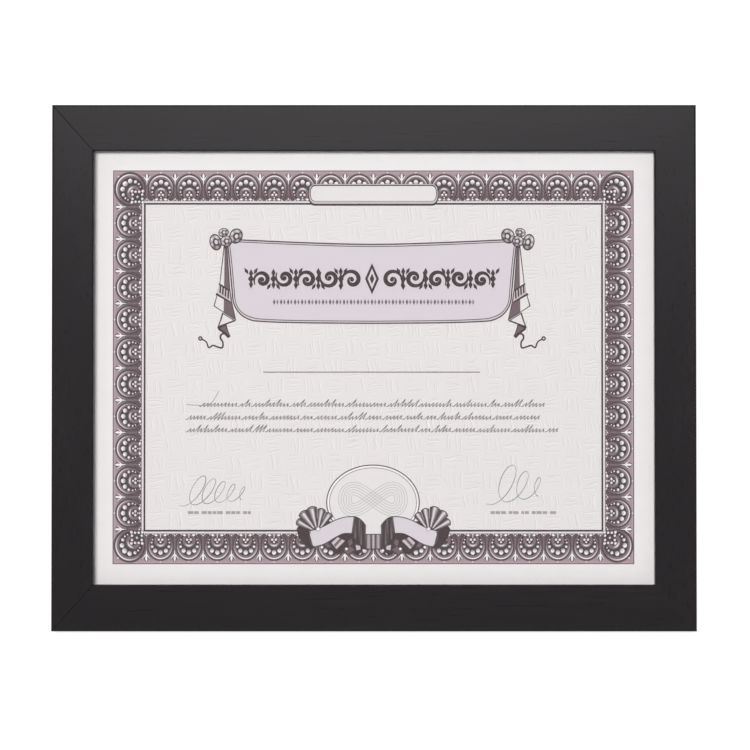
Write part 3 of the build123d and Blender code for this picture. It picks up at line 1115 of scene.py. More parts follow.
def emboss_tree() -> Tree:
    """The tree that fills the panel with blocks of short strokes, lying and standing by turns.

    Returns:
        The tree.
    """
    maker, given, result = NodeMaker.group("embossed_weave", {
        "Stroke": "Object", "Wide": 0.2, "High": 0.1, "Columns": 10, "Rows": 8, "Strokes": 4, "Gap": 0.002,
        "Seed": 7, "Finish": "Material"})
    grid = maker.out("GeometryNodeMeshGrid", {
        "Size X": given["Wide"], "Size Y": given["High"], "Vertices X": given["Columns"],
        "Vertices Y": given["Rows"]})
    stray = ((-0.0011, -0.0007, 0.0), (0.0011, 0.0007, 0.000008))
    scale = ((0.45, 0.6, 1.0), (1.1, 1.4, 1.0))
    tilt = 0.16
    index = maker.out("GeometryNodeInputIndex")
    column = maker.math("FLOOR", maker.math("DIVIDE", index, given["Rows"]))
    row = maker.math("MODULO", index, given["Rows"])
    standing = maker.math("MODULO", maker.math("ADD", column, row), 2.0)
    marked = maker.stored(grid, "turn", maker.math("MULTIPLY", standing, math.pi / 2))
    blocks = maker.out("GeometryNodeInstanceOnPoints", {
        "Points": marked, "Instance": maker.row(given["Strokes"], given["Gap"], "Y"),
        "Rotation": maker.combine(Z=maker.kept("turn"))})
    points = maker.out("GeometryNodeRealizeInstances", {0: blocks})
    wobble = maker.chance(given["Seed"], *stray)
    moved = maker.out("GeometryNodeSetPosition", {"Geometry": points, "Offset": wobble})
    leaning = maker.add("FunctionNodeRandomValue", {
        2: -tilt, 3: tilt, "Seed": maker.math("ADD", given["Seed"], 1)}, data_type="FLOAT").outputs[1]
    turned = maker.combine(Z=maker.math("ADD", maker.kept("turn"), leaning))
    size = maker.chance(maker.math("ADD", given["Seed"], 2), *scale)
    strokes = maker.stamped(moved, given["Stroke"], Rotation=turned, Scale=size)
    return maker.finished(maker.out("GeometryNodeRealizeInstances", {0: strokes}), given, result)


def tape_tree() -> Tree:
    """The tree that sweeps a tape along a curve and raises ribs across it.

    Returns:
        The tree.
    """
    maker, given, result = NodeMaker.group("ribbed_tape", {
        "Geometry": "Geometry", "Width": 0.012, "Thickness": 0.0003, "Rib Height": 0.00005,
        "Rib Pitch": 0.0009, "Finish": "Material"})
    quarter = maker.math("DIVIDE", given["Rib Pitch"], 4.0)
    fine = maker.out("GeometryNodeResampleCurve", {
        "Curve": given["Geometry"], "Length": quarter}, mode="LENGTH")
    upright = maker.out("GeometryNodeSetCurveNormal", {"Curve": fine}, mode="Z_UP")
    measure = maker.add("GeometryNodeSplineParameter").outputs["Length"]
    section = maker.out("GeometryNodeCurvePrimitiveQuadrilateral", {
        "Width": given["Width"], "Height": given["Thickness"]})
    across = maker.add("ShaderNodeSeparateXYZ", {0: maker.out("GeometryNodeInputPosition")}).outputs["X"]
    swept = maker.out("GeometryNodeCurveToMesh", {
        "Curve": maker.stored(upright, "along", measure), "Fill Caps": True,
        "Profile Curve": maker.stored(section, "across", across)})
    turn = maker.math("MULTIPLY", maker.math("DIVIDE", maker.kept("along"), given["Rib Pitch"]), math.tau)
    height = maker.math("MULTIPLY", maker.math("SINE", turn), given["Rib Height"])
    push = maker.scaled(maker.out("GeometryNodeInputNormal"), height)
    ribbed = maker.out("GeometryNodeSetPosition", {"Geometry": swept, "Offset": push})
    return maker.finished(maker.out("GeometryNodeRealizeInstances", {0: ribbed}), given, result)


@dataclass(frozen=True)
class Press:
    """What lays ink on the sheet.

    Attributes:
        finish: The ink's material.
        place: Where a flat drawing goes.
    """

    finish: Material
    place: Matrix

    def moved(self, shift: Matrix) -> "Press":
        """The press with its drawings moved first."""
        return Press(self.finish, self.place @ shift)

    def lay(self, name: str, plates: InkPlates) -> Object:
        """Prints plates of ink as one piece."""
        return on_frame(plates.piece(name, self.finish, self.place))

    def run(self, name: str, tree: Tree, inputs: dict[str, object]) -> None:
        """Prints what a Geometry Nodes tree makes.

        Args:
            name: The piece's name.
            tree: The tree.
            inputs: Its inputs by name, without the finish.
        """
        mesh = modifier_result(tree, {**inputs, "Finish": self.finish}, bpy.data.meshes.new(name))
        mesh.transform(self.place)
        on_frame(linked(name, mesh, self.finish))


@dataclass
class StayRibbon:
    """The woven ribbon that stops the easel leg from opening too far.

    Attributes:
        width: The tape's width.
        thickness: Its thickness between ribs.
        rib_height: How far a rib stands up.
        rib_pitch: From one rib to the next.
        tab: The length glued and riveted at each end.
        board_drop: From the hinge down to where it leaves the board.
        leg_drop: From the hinge down the leg to where it meets the leg.
        overreach: Not used.
        node_half: Half the thickness of the modelled ribbon that it stands for.
    """

    width: float = 12.0
    thickness: float = 0.30
    rib_height: float = 0.04
    rib_pitch: float = 0.9
    tab: float = 10.0
    board_drop: float = 105.0
    leg_drop: float = 125.0
    overreach: float = 7.0
    node_half: float = 0.2

    def route(self) -> list[Vector]:
        """Where the tape's middle goes, from the board's tab to the leg's.

        Returns:
            Its points in metres.
        """
        axis, swing = Vector(HINGE["pos_m"]), LEG_SWING
        back, up = PLANE.back, PLANE.up
        board_back = PLANE.origin.dot(back) + PLANE.depths("back_board")[1] * MM
        node_half = self.node_half * MM
        on_board = axis + back * (board_back + node_half - axis.dot(back)) - up * self.board_drop * MM
        down = back * math.sin(swing) - up * math.cos(swing)
        outwards = back * math.cos(swing) + up * math.sin(swing)
        leg = [v.co - axis for v in frame["nodes"]["easel_leg"].data.vertices]
        inner = min(p.dot(outwards) for p in leg if p.dot(down) > self.leg_drop * MM)
        on_leg = axis + outwards * (inner - node_half) + down * self.leg_drop * MM
        tab = self.tab * MM
        return [on_board + up * tab, on_board, on_leg, on_leg + down * tab]

    def build(self, finish: Material) -> None:
        """Makes the ribbon along its route from the board to the leg.

        Args:
            finish: The woven tape's material.
        """
        route = self.route()
        curve = bpy.data.curves.new("stay_route", "CURVE")
        curve.dimensions = "3D"
        spline = curve.splines.new("POLY")
        spline.points.add(len(route) - 1)
        for point, place in zip(spline.points, route):
            point.co = (*place, 1.0)
        inputs = {
            "Width": self.width * MM, "Thickness": self.thickness * MM, "Rib Height": self.rib_height * MM,
            "Rib Pitch": self.rib_pitch * MM, "Finish": finish}
        mesh = modifier_result(tape_tree(), inputs, curve)
        tidy_normals(mesh)
        ribbon = linked("stay_ribbon_woven", mesh, finish)
        length = sum((b - a).length for a, b in zip(route, route[1:]))
        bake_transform(ribbon)
        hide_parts("stay_ribbon")
        LOG.info("%s: %.1f mm long", ribbon.name, length / MM)


@dataclass
class ArchBorder:
    """The printed border: beaded arches in runs along the four sides, with a rosette in each corner.

    Attributes:
        outer: The band's half width and half height.
        lines: The half width and half height inside the inner lines.
        edge: The width of the thin dark line at the band's outer edge.
        turn: How far in from the band's edge its ground is mauve, across and up.
        pale: The pale line's width.
        line: The dark line's width.
        corner: The corner rosette's distance from the middle, across and up.
        pitch: From one arch to the next, along the top and up the sides.
        level_squeeze: How the arches along the top and bottom are scaled, across and up.
        upright_squeeze: How the arches along the sides are scaled, across and up.
        corner_squeeze: How much the corner rosettes are narrowed.
        counts: How many arches the top and a side have.
        upright_drop: How far the sides' arches sit below the middle.
        arch: An arch's outer radius.
        reach: From an arch's centre out to the band's edge, at a side and at the top.
    """

    outer: Point = (126.5, 95.6)
    lines: Point = (110.65, 78.95)
    edge: float = 0.42
    turn: Point = (5.2, 5.8)
    pale: float = 0.95
    line: float = 0.88
    corner: Point = (118.2, 86.5)
    pitch: Point = (13.765, 15.66)
    level_squeeze: Point = (0.895, 1.0)
    upright_squeeze: Point = (0.95, 0.965)
    corner_squeeze: float = 0.943
    counts: tuple[int, int] = (16, 10)
    upright_drop: float = 0.4
    arch: float = 6.95
    reach: Point = (8.25, 8.98)

    def shaded(self, centre: Point, lit: float, base: float, dark: Colour, light: Colour,
               gain: float = 0.85) -> Tint:
        """A colour that turns from light to dark round a centre.

        Args:
            centre: The centre.
            lit: The angle in degrees that looks brightest.
            base: How light it is square to that angle.
            dark: The colour on the far side.
            light: The colour on the lit side.
            gain: How fast it darkens away from the lit side.

        Returns:
            What gives the colour of a place.
        """
        def tint(place: Point) -> Colour:
            """The colour at one place."""
            angle = math.atan2(place[1] - centre[1], place[0] - centre[0]) - math.radians(lit)
            return blended(dark, light, base + gain * math.cos(angle))
        return tint

    def bead(self, plates: InkPlates, centre: Point, radius: float, layer: float, lit: float = 90,
             sides: int = 10) -> None:
        """One printed bead, white where it is lit and grey on its other side.

        Args:
            plates: What the ink goes on.
            centre: The bead's centre.
            radius: Its radius.
            layer: How many ink layers up it lies.
            lit: The angle in degrees that looks brightest.
            sides: How many sides its outline has.
        """
        turn = math.radians(lit)
        grey = blended(Inks.UMBER.value, Inks.SHELL.value, 0.3)

        def tint(place: Point) -> Colour:
            """White towards the light."""
            along = (place[0] - centre[0]) * math.cos(turn) + (place[1] - centre[1]) * math.sin(turn)
            return blended(grey, Inks.WHITE.value, 0.8 + 0.8 * along / radius)

        plates.disc(centre, [(radius * 0.5, tint), (radius * 0.86, tint), (radius, grey)], layer, sides)

    def rings(self, plates: InkPlates, centre: Point, radius: float, layer: float, lit: float) -> None:
        """The dark surround, the moulded rim with its lit edge and the dark channel that holds the beads.

        Args:
            plates: What the ink goes on.
            centre: The rim's centre.
            radius: Its outer radius.
            layer: How many ink layers up it lies.
            lit: The angle in degrees that looks brightest.
        """
        umber, mauve, white = Inks.UMBER.value, Inks.MAUVE.value, Inks.WHITE.value
        plum, outline = Inks.PLUM_BLACK.value, Inks.OUTLINE.value
        surround = [(0.99, outline), (1.04, umber), (1.09, blended(umber, mauve, 0.7))]
        band = self.shaded(centre, lit, 0.5, umber, mauve)
        crest = self.shaded(centre, lit, 0.05, blended(umber, mauve, 0.6), white, 0.95)
        rim = [(0.7, umber), (0.78, band), (0.85, band), (0.88, crest), (0.93, crest), (0.96, outline),
               (1.0, outline)]
        for steps, level in ((surround, layer - 1), (rim, layer)):
            plates.disc(centre, [(radius * share, tint) for share, tint in steps], level, 40)
        turn = math.radians(lit + 180)
        inner = (centre[0] + 0.75 * math.cos(turn), centre[1] + 0.75 * math.sin(turn))
        channel = [(radius * 0.5, Inks.CHANNEL.value), (radius * 0.7, plum), (radius * 0.79, plum)]
        plates.disc(inner, channel, layer + 0.4, 36)

    def dome(self, plates: InkPlates, centre: Point, radius: float, layer: float, lit: float) -> None:
        """The grey dome inside the beads, with one short highlight and a dark eye.

        Args:
            plates: What the ink goes on.
            centre: The dome's centre.
            radius: Its outer radius.
            layer: How many ink layers up it lies.
            lit: The angle in degrees that looks brightest.
        """
        plum, umber, mauve = Inks.PLUM_BLACK.value, Inks.UMBER.value, Inks.MAUVE.value
        crown = self.shaded(centre, lit, -1.9, blended(umber, mauve, 0.8), Inks.WHITE.value, 2.8)
        side = self.shaded(centre, lit, 0.6, umber, mauve)
        steps = [(0.43, plum), (0.48, umber), (0.56, side), (0.63, crown), (0.74, crown), (0.8, side),
                 (0.92, umber), (0.95, plum), (1.0, plum)]
        plates.disc(centre, [(radius * share, tint) for share, tint in steps], layer, 28)

    def arch_motif(self) -> Object:
        """One arch with its beads, drawn with outwards up.

        Returns:
            The motif's object, which is no piece of the part.
        """
        plates = InkPlates()
        self.rings(plates, (0, 0), self.arch, 3, 90)
        outer = ((0, 3.3, 1.24), (2.9, 2.4, 1.16), (4.5, 0.4, 0.76), (4.8, -1.55, 0.5), (4.35, -2.95, 0.38))
        inner = ((0, -1.8, 0.6), (0.97, -3.0, 0.72), (-0.97, -3.0, 0.72), (0, -4.25, 0.42), (0, -5.3, 0.5))
        for x, y, radius in outer:
            for side in (1, -1) if x else (1,):
                self.bead(plates, (x * side, y), radius, 4)
        self.dome(plates, (0, -2.7), 4.0, 4, 90)
        for x, y, radius in inner:
            self.bead(plates, (x, y), radius, 4.9)
        foot = ((1.5, -5.1), (2.4, -4.5), (3.5, -5.1), (2.5, -5.75))
        for side in (1, -1):
            plates.shape([(x * side, y) for x, y in foot][::side], Inks.WHITE.value, 5)
            self.bead(plates, (4.1 * side, -5.6), 0.4, 5)
        self.bead(plates, (0, 7.75), 0.44, 3)
        return plates.piece("arch_motif", None)

    def fleur_motif(self) -> Object:
        """The white bud between two arches, over its dark ground, drawn with outwards up.

        Returns:
            The motif's object, which is no piece of the part.
        """
        plates = InkPlates()
        umber, outline, mauve = Inks.UMBER.value, Inks.OUTLINE.value, Inks.MAUVE.value
        ground = [(-3.6, -6.0), (3.6, -6.0), (1.0, -1.5), (0.7, 2.6), (-0.7, 2.6), (-1.0, -1.5)]
        stem = [(0.42, -3.6), (0.42, 1.4), (0, 2.6), (-0.42, 1.4), (-0.42, -3.6)]
        plates.shape(ground, umber, 2.3)
        plates.shape(stem, blended(umber, mauve, 0.6), 3)
        plates.shape([(-1.9, -5.9), (1.9, -5.9), (0, -3.3)], blended(outline, mauve, 0.5), 3.2)
        for x, y, radius in ((0, -5.0, 0.44), (-0.95, -5.5, 0.3), (0.95, -5.5, 0.3)):
            self.bead(plates, (x, y), radius, 4)
        bud = [(0, 7.7), (0.45, 7.0), (0.62, 6.2), (0.5, 5.3), (0.4, 4.4), (0.26, 3.2), (0, 1.6)]
        full = bud + [(-x, y) for x, y in reversed(bud[1:-1])]
        around = [(x * 1.9, y + (0.2 if y > 5 else -0.3)) for x, y in full]
        plates.shape(around, outline, 3)
        plates.shape(full, Inks.WHITE.value, 4)
        for side in (1, -1):
            prong = smooth([(0.1 * side, 4.2), (0.85 * side, 4.9), (1.5 * side, 5.8), (2.2 * side, 6.4)], 4)
            plates.stroke(prong, lambda share: 1.1 - 0.4 * share, outline, 3)
            plates.stroke(prong, lambda share: 0.5 * (1 - share) + 0.22, Inks.WHITE.value, 4)
        return plates.piece("fleur_motif", None)

    def corner_rosettes(self, plates: InkPlates) -> None:
        """A rosette in each corner, with a four-part flower of beads towards the panel.

        Args:
            plates: What the ink goes on.
        """
        squeeze = self.corner_squeeze
        beads = ((0, 3.7, 1.36), (45, 3.95, 1.24), (83, 4.5, 0.86), (106, 5.05, 0.54), (123, 5.35, 0.4))
        petal_rings = [(1.3, Inks.PLUM_BLACK.value), (1.85, Inks.OUTLINE.value)]
        for side in (1, -1):
            for end in (1, -1):
                out = math.degrees(math.atan2(end, side))
                start = len(plates.points)
                centre = Vector((side * self.corner[0] / squeeze, end * self.corner[1]))
                self.rings(plates, centre, 7.8, 3.3, out)
                for turn, reach, size in beads:
                    for hand in (1, -1) if turn else (1,):
                        angle = math.radians(out + turn * hand)
                        spot = centre + Vector((math.cos(angle), math.sin(angle))) * reach
                        self.bead(plates, spot, size, 4.4, out)
                inwards = Vector((-side, -end)).normalized()
                self.dome(plates, centre + inwards * 2.6, 4.1, 4.8, out)
                flower = centre + inwards * 5.3
                for x in (1, -1):
                    for y in (1, -1):
                        petal = flower + Vector((1.85 * x, 1.85 * y))
                        plates.disc(petal, petal_rings, 6.2, 12)
                        for spot, size in (((2.8, 2.7), 0.8), ((0.95, 2.45), 0.7), ((2.5, 1.05), 0.7)):
                            self.bead(plates, flower + Vector((spot[0] * x, spot[1] * y)), size, 7, out)
                self.bead(plates, flower, 0.55, 7.2, out)
                self.bead(plates, centre - inwards * 8.6, 0.5, 3, out)
                for i in range(start, len(plates.points)):
                    plates.points[i].x *= squeeze

    def build(self, press: Press) -> None:
        """Prints the border.

        Args:
            press: What lays the ink on the sheet.
        """
        wide, high = self.outer
        umber, mauve, plum = Inks.UMBER.value, Inks.MAUVE.value, Inks.PLUM_BLACK.value
        middle = (wide - self.turn[0], high - self.turn[1])
        dark_line = (self.lines[0] + self.line, self.lines[1] + self.line)
        pale_line = (dark_line[0] + self.pale, dark_line[1] + self.pale)
        ground = InkPlates()
        ground.border(self.outer, (wide - self.edge, high - self.edge), (umber, umber), 2)
        ground.border(self.outer, middle, (Inks.ROSE.value, mauve), 1)
        ground.border(middle, pale_line, (mauve, umber), 1)
        ground.border(pale_line, dark_line, (Inks.SHELL.value, Inks.PAPER.value), 6)
        ground.border(dark_line, self.lines, (plum, plum), 6)
        press.lay("border_ground", ground)
        rosettes = InkPlates()
        self.corner_rosettes(rosettes)
        press.lay("border_rosettes", rosettes)
        arch, fleur = self.arch_motif(), self.fleur_motif()
        tree = run_tree()
        level, upright = self.level_squeeze, self.upright_squeeze
        across = (self.counts[0], self.pitch[0] / level[0], high - self.reach[1], level, 0.0)
        up = (self.counts[1], self.pitch[1] / upright[1], (wide - self.reach[0]) / upright[0], upright,
              self.upright_drop)
        runs = {"border_top": across, "border_left": up, "border_bottom": across, "border_right": up}
        for quarter, (name, (count, pitch, offset, squeeze, drop)) in enumerate(runs.items()):
            press.moved(Matrix.Translation((0, -drop * MM, 0))).run(name, tree, {
                "Motif": arch, "Between": fleur, "Count": count, "Pitch": pitch * MM, "Offset": offset * MM,
                "Turn": math.radians(90 * quarter), "Squeeze": (*squeeze, 1.0)})
        for motif in (arch, fleur):
            bpy.data.objects.remove(motif)


@dataclass
class EmbossedPanel:
    """The faint strokes that fill the panel inside the border, in painted shade and painted highlight.

    Attributes:
        size: The panel's half width and half height.
        columns: How many blocks lie across it.
        rows: How many blocks lie up it.
        strokes: How many strokes a block has.
        gap: From one stroke to the next.
        length: A stroke's length.
        inset: From the panel's edge to the outermost blocks' middles, as a share of that length.
        seed: What sets the strokes' unevenness.
    """

    size: Point = (110.5, 78.95)
    columns: int = 23
    rows: int = 17
    strokes: int = 5
    gap: float = 1.7
    length: float = 7.6
    inset: float = 0.62
    seed: int = 7

    def stroke_motif(self) -> Object:
        """One blind-stamped stroke, drawn flat: a grey line of painted shade with a light line of painted
        highlight beside it.

        Returns:
            The motif's object, which is no piece of the part.
        """
        half = self.length / 2
        path = smooth([(-half, 0.1), (-half / 2, -0.25), (0, 0.05), (half / 2, 0.3), (half, 0)], 1)
        plates = InkPlates()
        # Painted shade, then a line of painted highlight beside it, on a flat stroke.
        plates.stroke(path, 0.4, Inks.EMBOSS_PAINTED_SHADE.value, 1.5)
        plates.stroke([(x + 0.15, y - 0.42) for x, y in path], 0.34, Inks.EMBOSS_PAINTED_HIGHLIGHT.value, 1.5)
        return plates.piece("stroke_motif", None)

    def build(self, press: Press) -> None:
        """Prints the strokes.

        Args:
            press: What lays the ink on the sheet.
        """
        plain = InkPlates()
        plain.block(self.size, Inks.PANEL.value, 1)
        press.lay("panel_tint", plain)
        stroke = self.stroke_motif()
        wide, high = (2 * (half - self.length * self.inset) * MM for half in self.size)
        press.run("panel_emboss", emboss_tree(), {
            "Stroke": stroke, "Wide": wide, "High": high, "Columns": self.columns, "Rows": self.rows,
            "Strokes": self.strokes, "Gap": self.gap * MM, "Seed": self.seed})
        bpy.data.objects.remove(stroke)


@dataclass
class TitleBanner:
    """A draped banner between two bows, with a scroll ornament on it.

    Attributes:
        knot: A bow's knot, across and up.
        half: The banner's half width below the knots.
        sag: The height of the top edge's middle.
        foot: The height of the bottom edge's middle.
        ornament_height: The height of the scroll ornament's middle line.
        scrolls: How many scrolls it has to each side.
        first_scroll: From the middle to the first scroll.
        scroll_pitch: From one scroll to the next.
        scroll_size: The first scroll's radius.
        scroll_shrink: How much smaller each next one is.
        leaf_share: The length of the leaves beside a spear, as a share of a full leaf.
        small_row_height: The height of the row of small lozenges below it.
        small_count: How many lozenges lie in that row, besides those midway between two.
        small_pitch: From one of them to the next.
        aside: How far the whole banner sits right of the middle, and how much it is narrowed.
    """

    knot: Point = (71.5, 61.2)
    half: float = 71.3
    sag: float = 59.9
    foot: float = 21.0
    ornament_height: float = 42.9
    scrolls: int = 5
    first_scroll: float = 9.8
    scroll_pitch: float = 11.0
    scroll_size: float = 5.5
    scroll_shrink: float = 0.28
    leaf_share: float = 0.9
    small_row_height: float = 31.6
    small_count: int = 14
    small_pitch: float = 6.85
    aside: Point = (-0.68, 0.991)

    def outline(self, shrink: float) -> list[Point]:
        """The banner's outline.

        Args:
            shrink: How far inside the banner's own edge it runs.

        Returns:
            Its points.
        """
        half, low, top = self.half - shrink, self.foot + shrink, self.sag - shrink
        crest = [(-half, top + 2.5), (-half / 2, top + 0.9), (0, top), (half / 2, top + 0.9),
                 (half, top + 2.5)]
        hem = [(half, top + 2.5), (half - 1.3, 50), (half - 2.4, 38), (half - 3.3, 31),
               (half - 6.4, 25.8 + shrink / 2), (half - 11.2, low + 1.8), (half - 17.0, low + 0.95),
               (half / 2, low + 0.3), (0, low)]
        side = smooth(hem, 6)[1:]
        return smooth(crest, 6) + side + [(-x, y) for x, y in reversed(side[:-1])]

    def loop(self, plates: InkPlates, centre: Point, size: Point, lean: float, layer: float) -> None:
        """One round loop of a bow, seen a little from above into its dark inside.

        Args:
            plates: What the ink goes on.
            centre: Its middle.
            size: Its half width and half height.
            lean: How far it is turned, in degrees.
            layer: How many ink layers up it starts.
        """
        turn = math.radians(lean)

        def ring(share: float, shift: float = 0.0) -> list[Point]:
            """The loop's line, drawn in by a share of its size.

            Args:
                share: The share of its size.
                shift: How far it moves along the loop.

            Returns:
                The line's points.
            """
            points = []
            for x, y in arc((0, 0), 1, 0, 360, 20)[:-1]:
                a, b = x * size[0] * share + shift, y * size[1] * share
                points.append((centre[0] + a * math.cos(turn) - b * math.sin(turn),
                               centre[1] + a * math.sin(turn) + b * math.cos(turn)))
            return points

        def lit(place: Point) -> Colour:
            """Light from the upper left, with a few creases.

            Args:
                place: A place on the loop.

            Returns:
                The colour there.
            """
            x, y = place[0] - centre[0], place[1] - centre[1]
            share = 0.36 + (y - x) / (size[0] + size[1]) * 0.5 + 0.3 * math.cos(5 * math.atan2(y, x))
            return blended(Inks.UMBER.value, Inks.WHITE.value, share)

        plates.shape(ring(1.0), Inks.PLUM_BLACK.value, layer)
        plates.grid([ring(0.48, 0.12), ring(0.83)], [lit, lit], layer + 0.5, True)
        plates.shape(ring(0.27, 0.3), Inks.LILAC.value, layer + 0.7)

    def bow(self, plates: InkPlates) -> None:
        """A small three-looped bow and its knot.

        Args:
            plates: What the ink goes on.
        """
        x, y = -self.knot[0], self.knot[1]
        self.loop(plates, (x - 5.2, y - 0.5), (3.0, 4.1), 14, 4.0)
        self.loop(plates, (x - 1.3, y + 4.2), (2.6, 2.2), 15, 4.2)
        self.loop(plates, (x + 4.8, y + 2.5), (3.3, 3.8), -24, 4.1)
        self.loop(plates, (x, y), (2.9, 2.8), 0, 5.4)

    def tail(self, plates: InkPlates) -> None:
        """The folded tail that hangs from a bow, with a striped cuff and a curled cord.

        Args:
            plates: What the ink goes on.
        """
        dark, umber, pale = Inks.PLUM_BLACK.value, Inks.UMBER.value, Inks.PANEL.value
        grey = blended(umber, Inks.MAUVE.value, 0.4)
        grounds = (
            ([(-72.7, 59), (-71.0, 59), (-69.5, 38), (-68.5, 31.4), (-66.5, 22.5), (-77.7, 29.6),
              (-76.1, 35), (-74.8, 40.5)], dark, 3),
            ([(-72.3, 58), (-72.4, 44), (-72.7, 26.9), (-77.1, 29.8), (-75.7, 35), (-74.4, 40.6)],
             pale, 3.5),
            ([(-72.3, 58), (-71.4, 58), (-69.9, 38), (-68.9, 31.5), (-67.1, 23.4), (-72.7, 26.9),
              (-72.5, 46)], grey, 3.5),
            ([(-74.7, 40.4), (-69.8, 37.1), (-69.2, 31.6), (-75.9, 35.6)], Inks.SHELL.value, 3.75),
            ([(-76.3, 36.1), (-69.5, 32.0), (-69.1, 31.0), (-76.7, 35.1)], dark, 4),
            ([(-75.0, 40.9), (-69.9, 37.6), (-69.8, 36.7), (-75.2, 40.1)], dark, 4))
        stripes = tuple(
            ([(x, y), (x + 0.72, y - 0.45), (x + 0.5, y - 4.4), (x - 0.25, y - 3.95)], dark, 4)
            for x, y in ((-74.6 + i * 1.3, 40.1 - i * 0.86) for i in range(4)))
        ends = (
            ([(-73.4, 26.6), (-66.7, 22.4), (-71.5, 20.6), (-75.9, 18.9), (-74.6, 22.5)], dark, 2.9),
            ([(-72.9, 25.7), (-68.0, 22.7), (-72.0, 21.2), (-74.9, 20.1), (-73.9, 22.6)], pale, 3.5),
            ([(-75.6, 19.4), (-71.4, 21.0), (-70.4, 17.4), (-69.3, 14.9), (-70.6, 14.0), (-72.9, 16.4),
              (-75.4, 18.2)], dark, 3.2),
            ([(-74.6, 18.9), (-71.8, 20.2), (-70.8, 17.2), (-70.0, 15.4), (-72.4, 17.2)], grey, 3.7))
        for outline, tint, layer in grounds + stripes + ends:
            plates.shape(outline, tint, layer)
        cord = [(-70.6, 14.8), (-72.0, 16.4), (-74.0, 15.6), (-74.2, 13.9), (-73.1, 12.0), (-73.4, 9.4),
                (-76.0, 9.9), (-78.0, 10.5), (-80.0, 9.5), (-81.2, 12.2), (-83.4, 13.6)]
        plates.stroke(smooth(cord, 6), lambda share: 0.95 - 0.3 * share, dark, 4)
        plates.disc((-84.1, 13.9), [(0.35, Inks.SHELL.value), (0.6, dark), (1.15, dark)], 4.2, 12)

    def spear(self, plates: InkPlates, across: float, reach: float) -> None:
        """A slim double-ended spear that stands between two scrolls.

        Args:
            plates: What the ink goes on.
            across: How far right of the middle it stands.
            reach: How far its tips are from its own middle.
        """
        y, ink = self.ornament_height, Inks.PLUM_BLACK.value
        half = [(0, reach), (1.05, reach - 2.1), (0.42, reach - 3.4), (0.62, 1.3), (1.5, 0)]
        right = half + [(x, -up) for x, up in reversed(half[:-1])]
        left = [(-x, up) for x, up in reversed(right[1:-1])]
        plates.shape([(across + x, y + up) for x, up in right + left], ink, 4)

    def ornament(self, plates: InkPlates) -> None:
        """A running scroll with spears, the same both ways from its middle lozenge.

        Args:
            plates: What the ink goes on.
        """
        ink, y = Inks.PLUM_BLACK.value, self.ornament_height
        lozenges = ((3.4, 7.6, ink, 4), (2.1, 5.0, Inks.LILAC.value, 4.5), (1.1, 2.6, ink, 5))
        for wide, high, tint, layer in lozenges:
            plates.shape([(0, y + high), (wide, y), (0, y - high), (-wide, y)], tint, layer)
        for k in range(self.scrolls):
            up = 1 if k % 2 == 0 else -1
            x = self.first_scroll + self.scroll_pitch * k
            next_spear = x + self.scroll_pitch / 2
            for side in (1, -1):
                eye = (x * side, y - up * 0.4)
                curl = spiral(eye, self.scroll_size - self.scroll_shrink * k, 0.8,
                              90 - side * (90 + up * 35), side * up * 1.45)
                plates.stroke(curl, self.scroll_width, ink, 4)
                plates.disc(eye, [(0.5, ink), (1.0, ink)], 4.2, 14)
                for lean in (31, -31):
                    angle = math.radians(90 * up + lean)
                    self.leaf(plates, (next_spear * side, y), Vector((math.cos(angle), math.sin(angle))))
                self.spear(plates, next_spear * side, 5.6 - 0.2 * k)

    def scroll_width(self, share: float) -> float:
        """A scroll's width at a share of its length, widest in the middle."""
        return 0.5 + 1.6 * math.sin(math.pi * min(share * 1.15, 1))

    def leaf(self, plates: InkPlates, foot: Point, tip: Vector) -> None:
        """A small leaf beside a spear.

        Args:
            plates: What the ink goes on.
            foot: The spear's middle.
            tip: Which way the leaf points.
        """
        root = Vector(foot) + tip * 2.4
        flank = Vector((-tip.y, tip.x)) * 0.8
        middle = root + tip * 2.2 * self.leaf_share
        outline = [root, middle + flank, root + tip * 4.4 * self.leaf_share, middle - flank]
        plates.shape([tuple(p) for p in outline], Inks.PLUM_BLACK.value, 4)

    def small_row(self) -> Object:
        """One unit of the small row: a lozenge between two upright ticks.

        Returns:
            The unit's object, which is no piece of the part.
        """
        plates = InkPlates()
        ink = blended(Inks.UMBER.value, Inks.MAUVE.value, 0.3)
        plates.shape([(0, 1.5), (0.62, 0), (0, -1.5), (-0.62, 0)], ink, 4)
        for left, right, high, layer in ((1.35, 1.8, 1.1, 4), (0.8, 2.35, 0.16, 3.8)):
            plates.shape([(left, high), (right, high), (right, -high), (left, -high)], ink, layer)
        return plates.piece("lozenge_motif", None)

    def build(self, press: Press) -> None:
        """Prints the banner.

        Args:
            press: What lays the ink on the sheet.
        """
        right, narrowed = self.aside
        press = press.moved(Matrix.Translation((right * MM, 0, 0)))
        press = press.moved(Matrix.Scale(narrowed, 4, (1, 0, 0)))
        plates = InkPlates()
        plates.shape(self.outline(0.1), Inks.LILAC.value, 2)
        outer, middle, inner, innermost = (self.outline(shrink)[:-1] for shrink in (0.25, 0.35, 0.75, 1.3))
        plates.grid([inner, middle], [Inks.SHELL.value] * 2, 2.4, True)
        plates.stroke(outer, 0.6, Inks.PLUM_BLACK.value, 3, closed=True)
        plates.stroke(innermost, 0.4, Inks.OUTLINE.value, 3, closed=True)
        self.ornament(plates)
        for side in (1, -1):
            plates.flip = side
            self.tail(plates)
            self.bow(plates)
        press.lay("title_banner", plates)
        unit = self.small_row()
        press.run("banner_row", run_tree(), {
            "Motif": unit, "Between": unit, "Count": self.small_count, "Pitch": self.small_pitch * MM,
            "Offset": self.small_row_height * MM})
        bpy.data.objects.remove(unit)


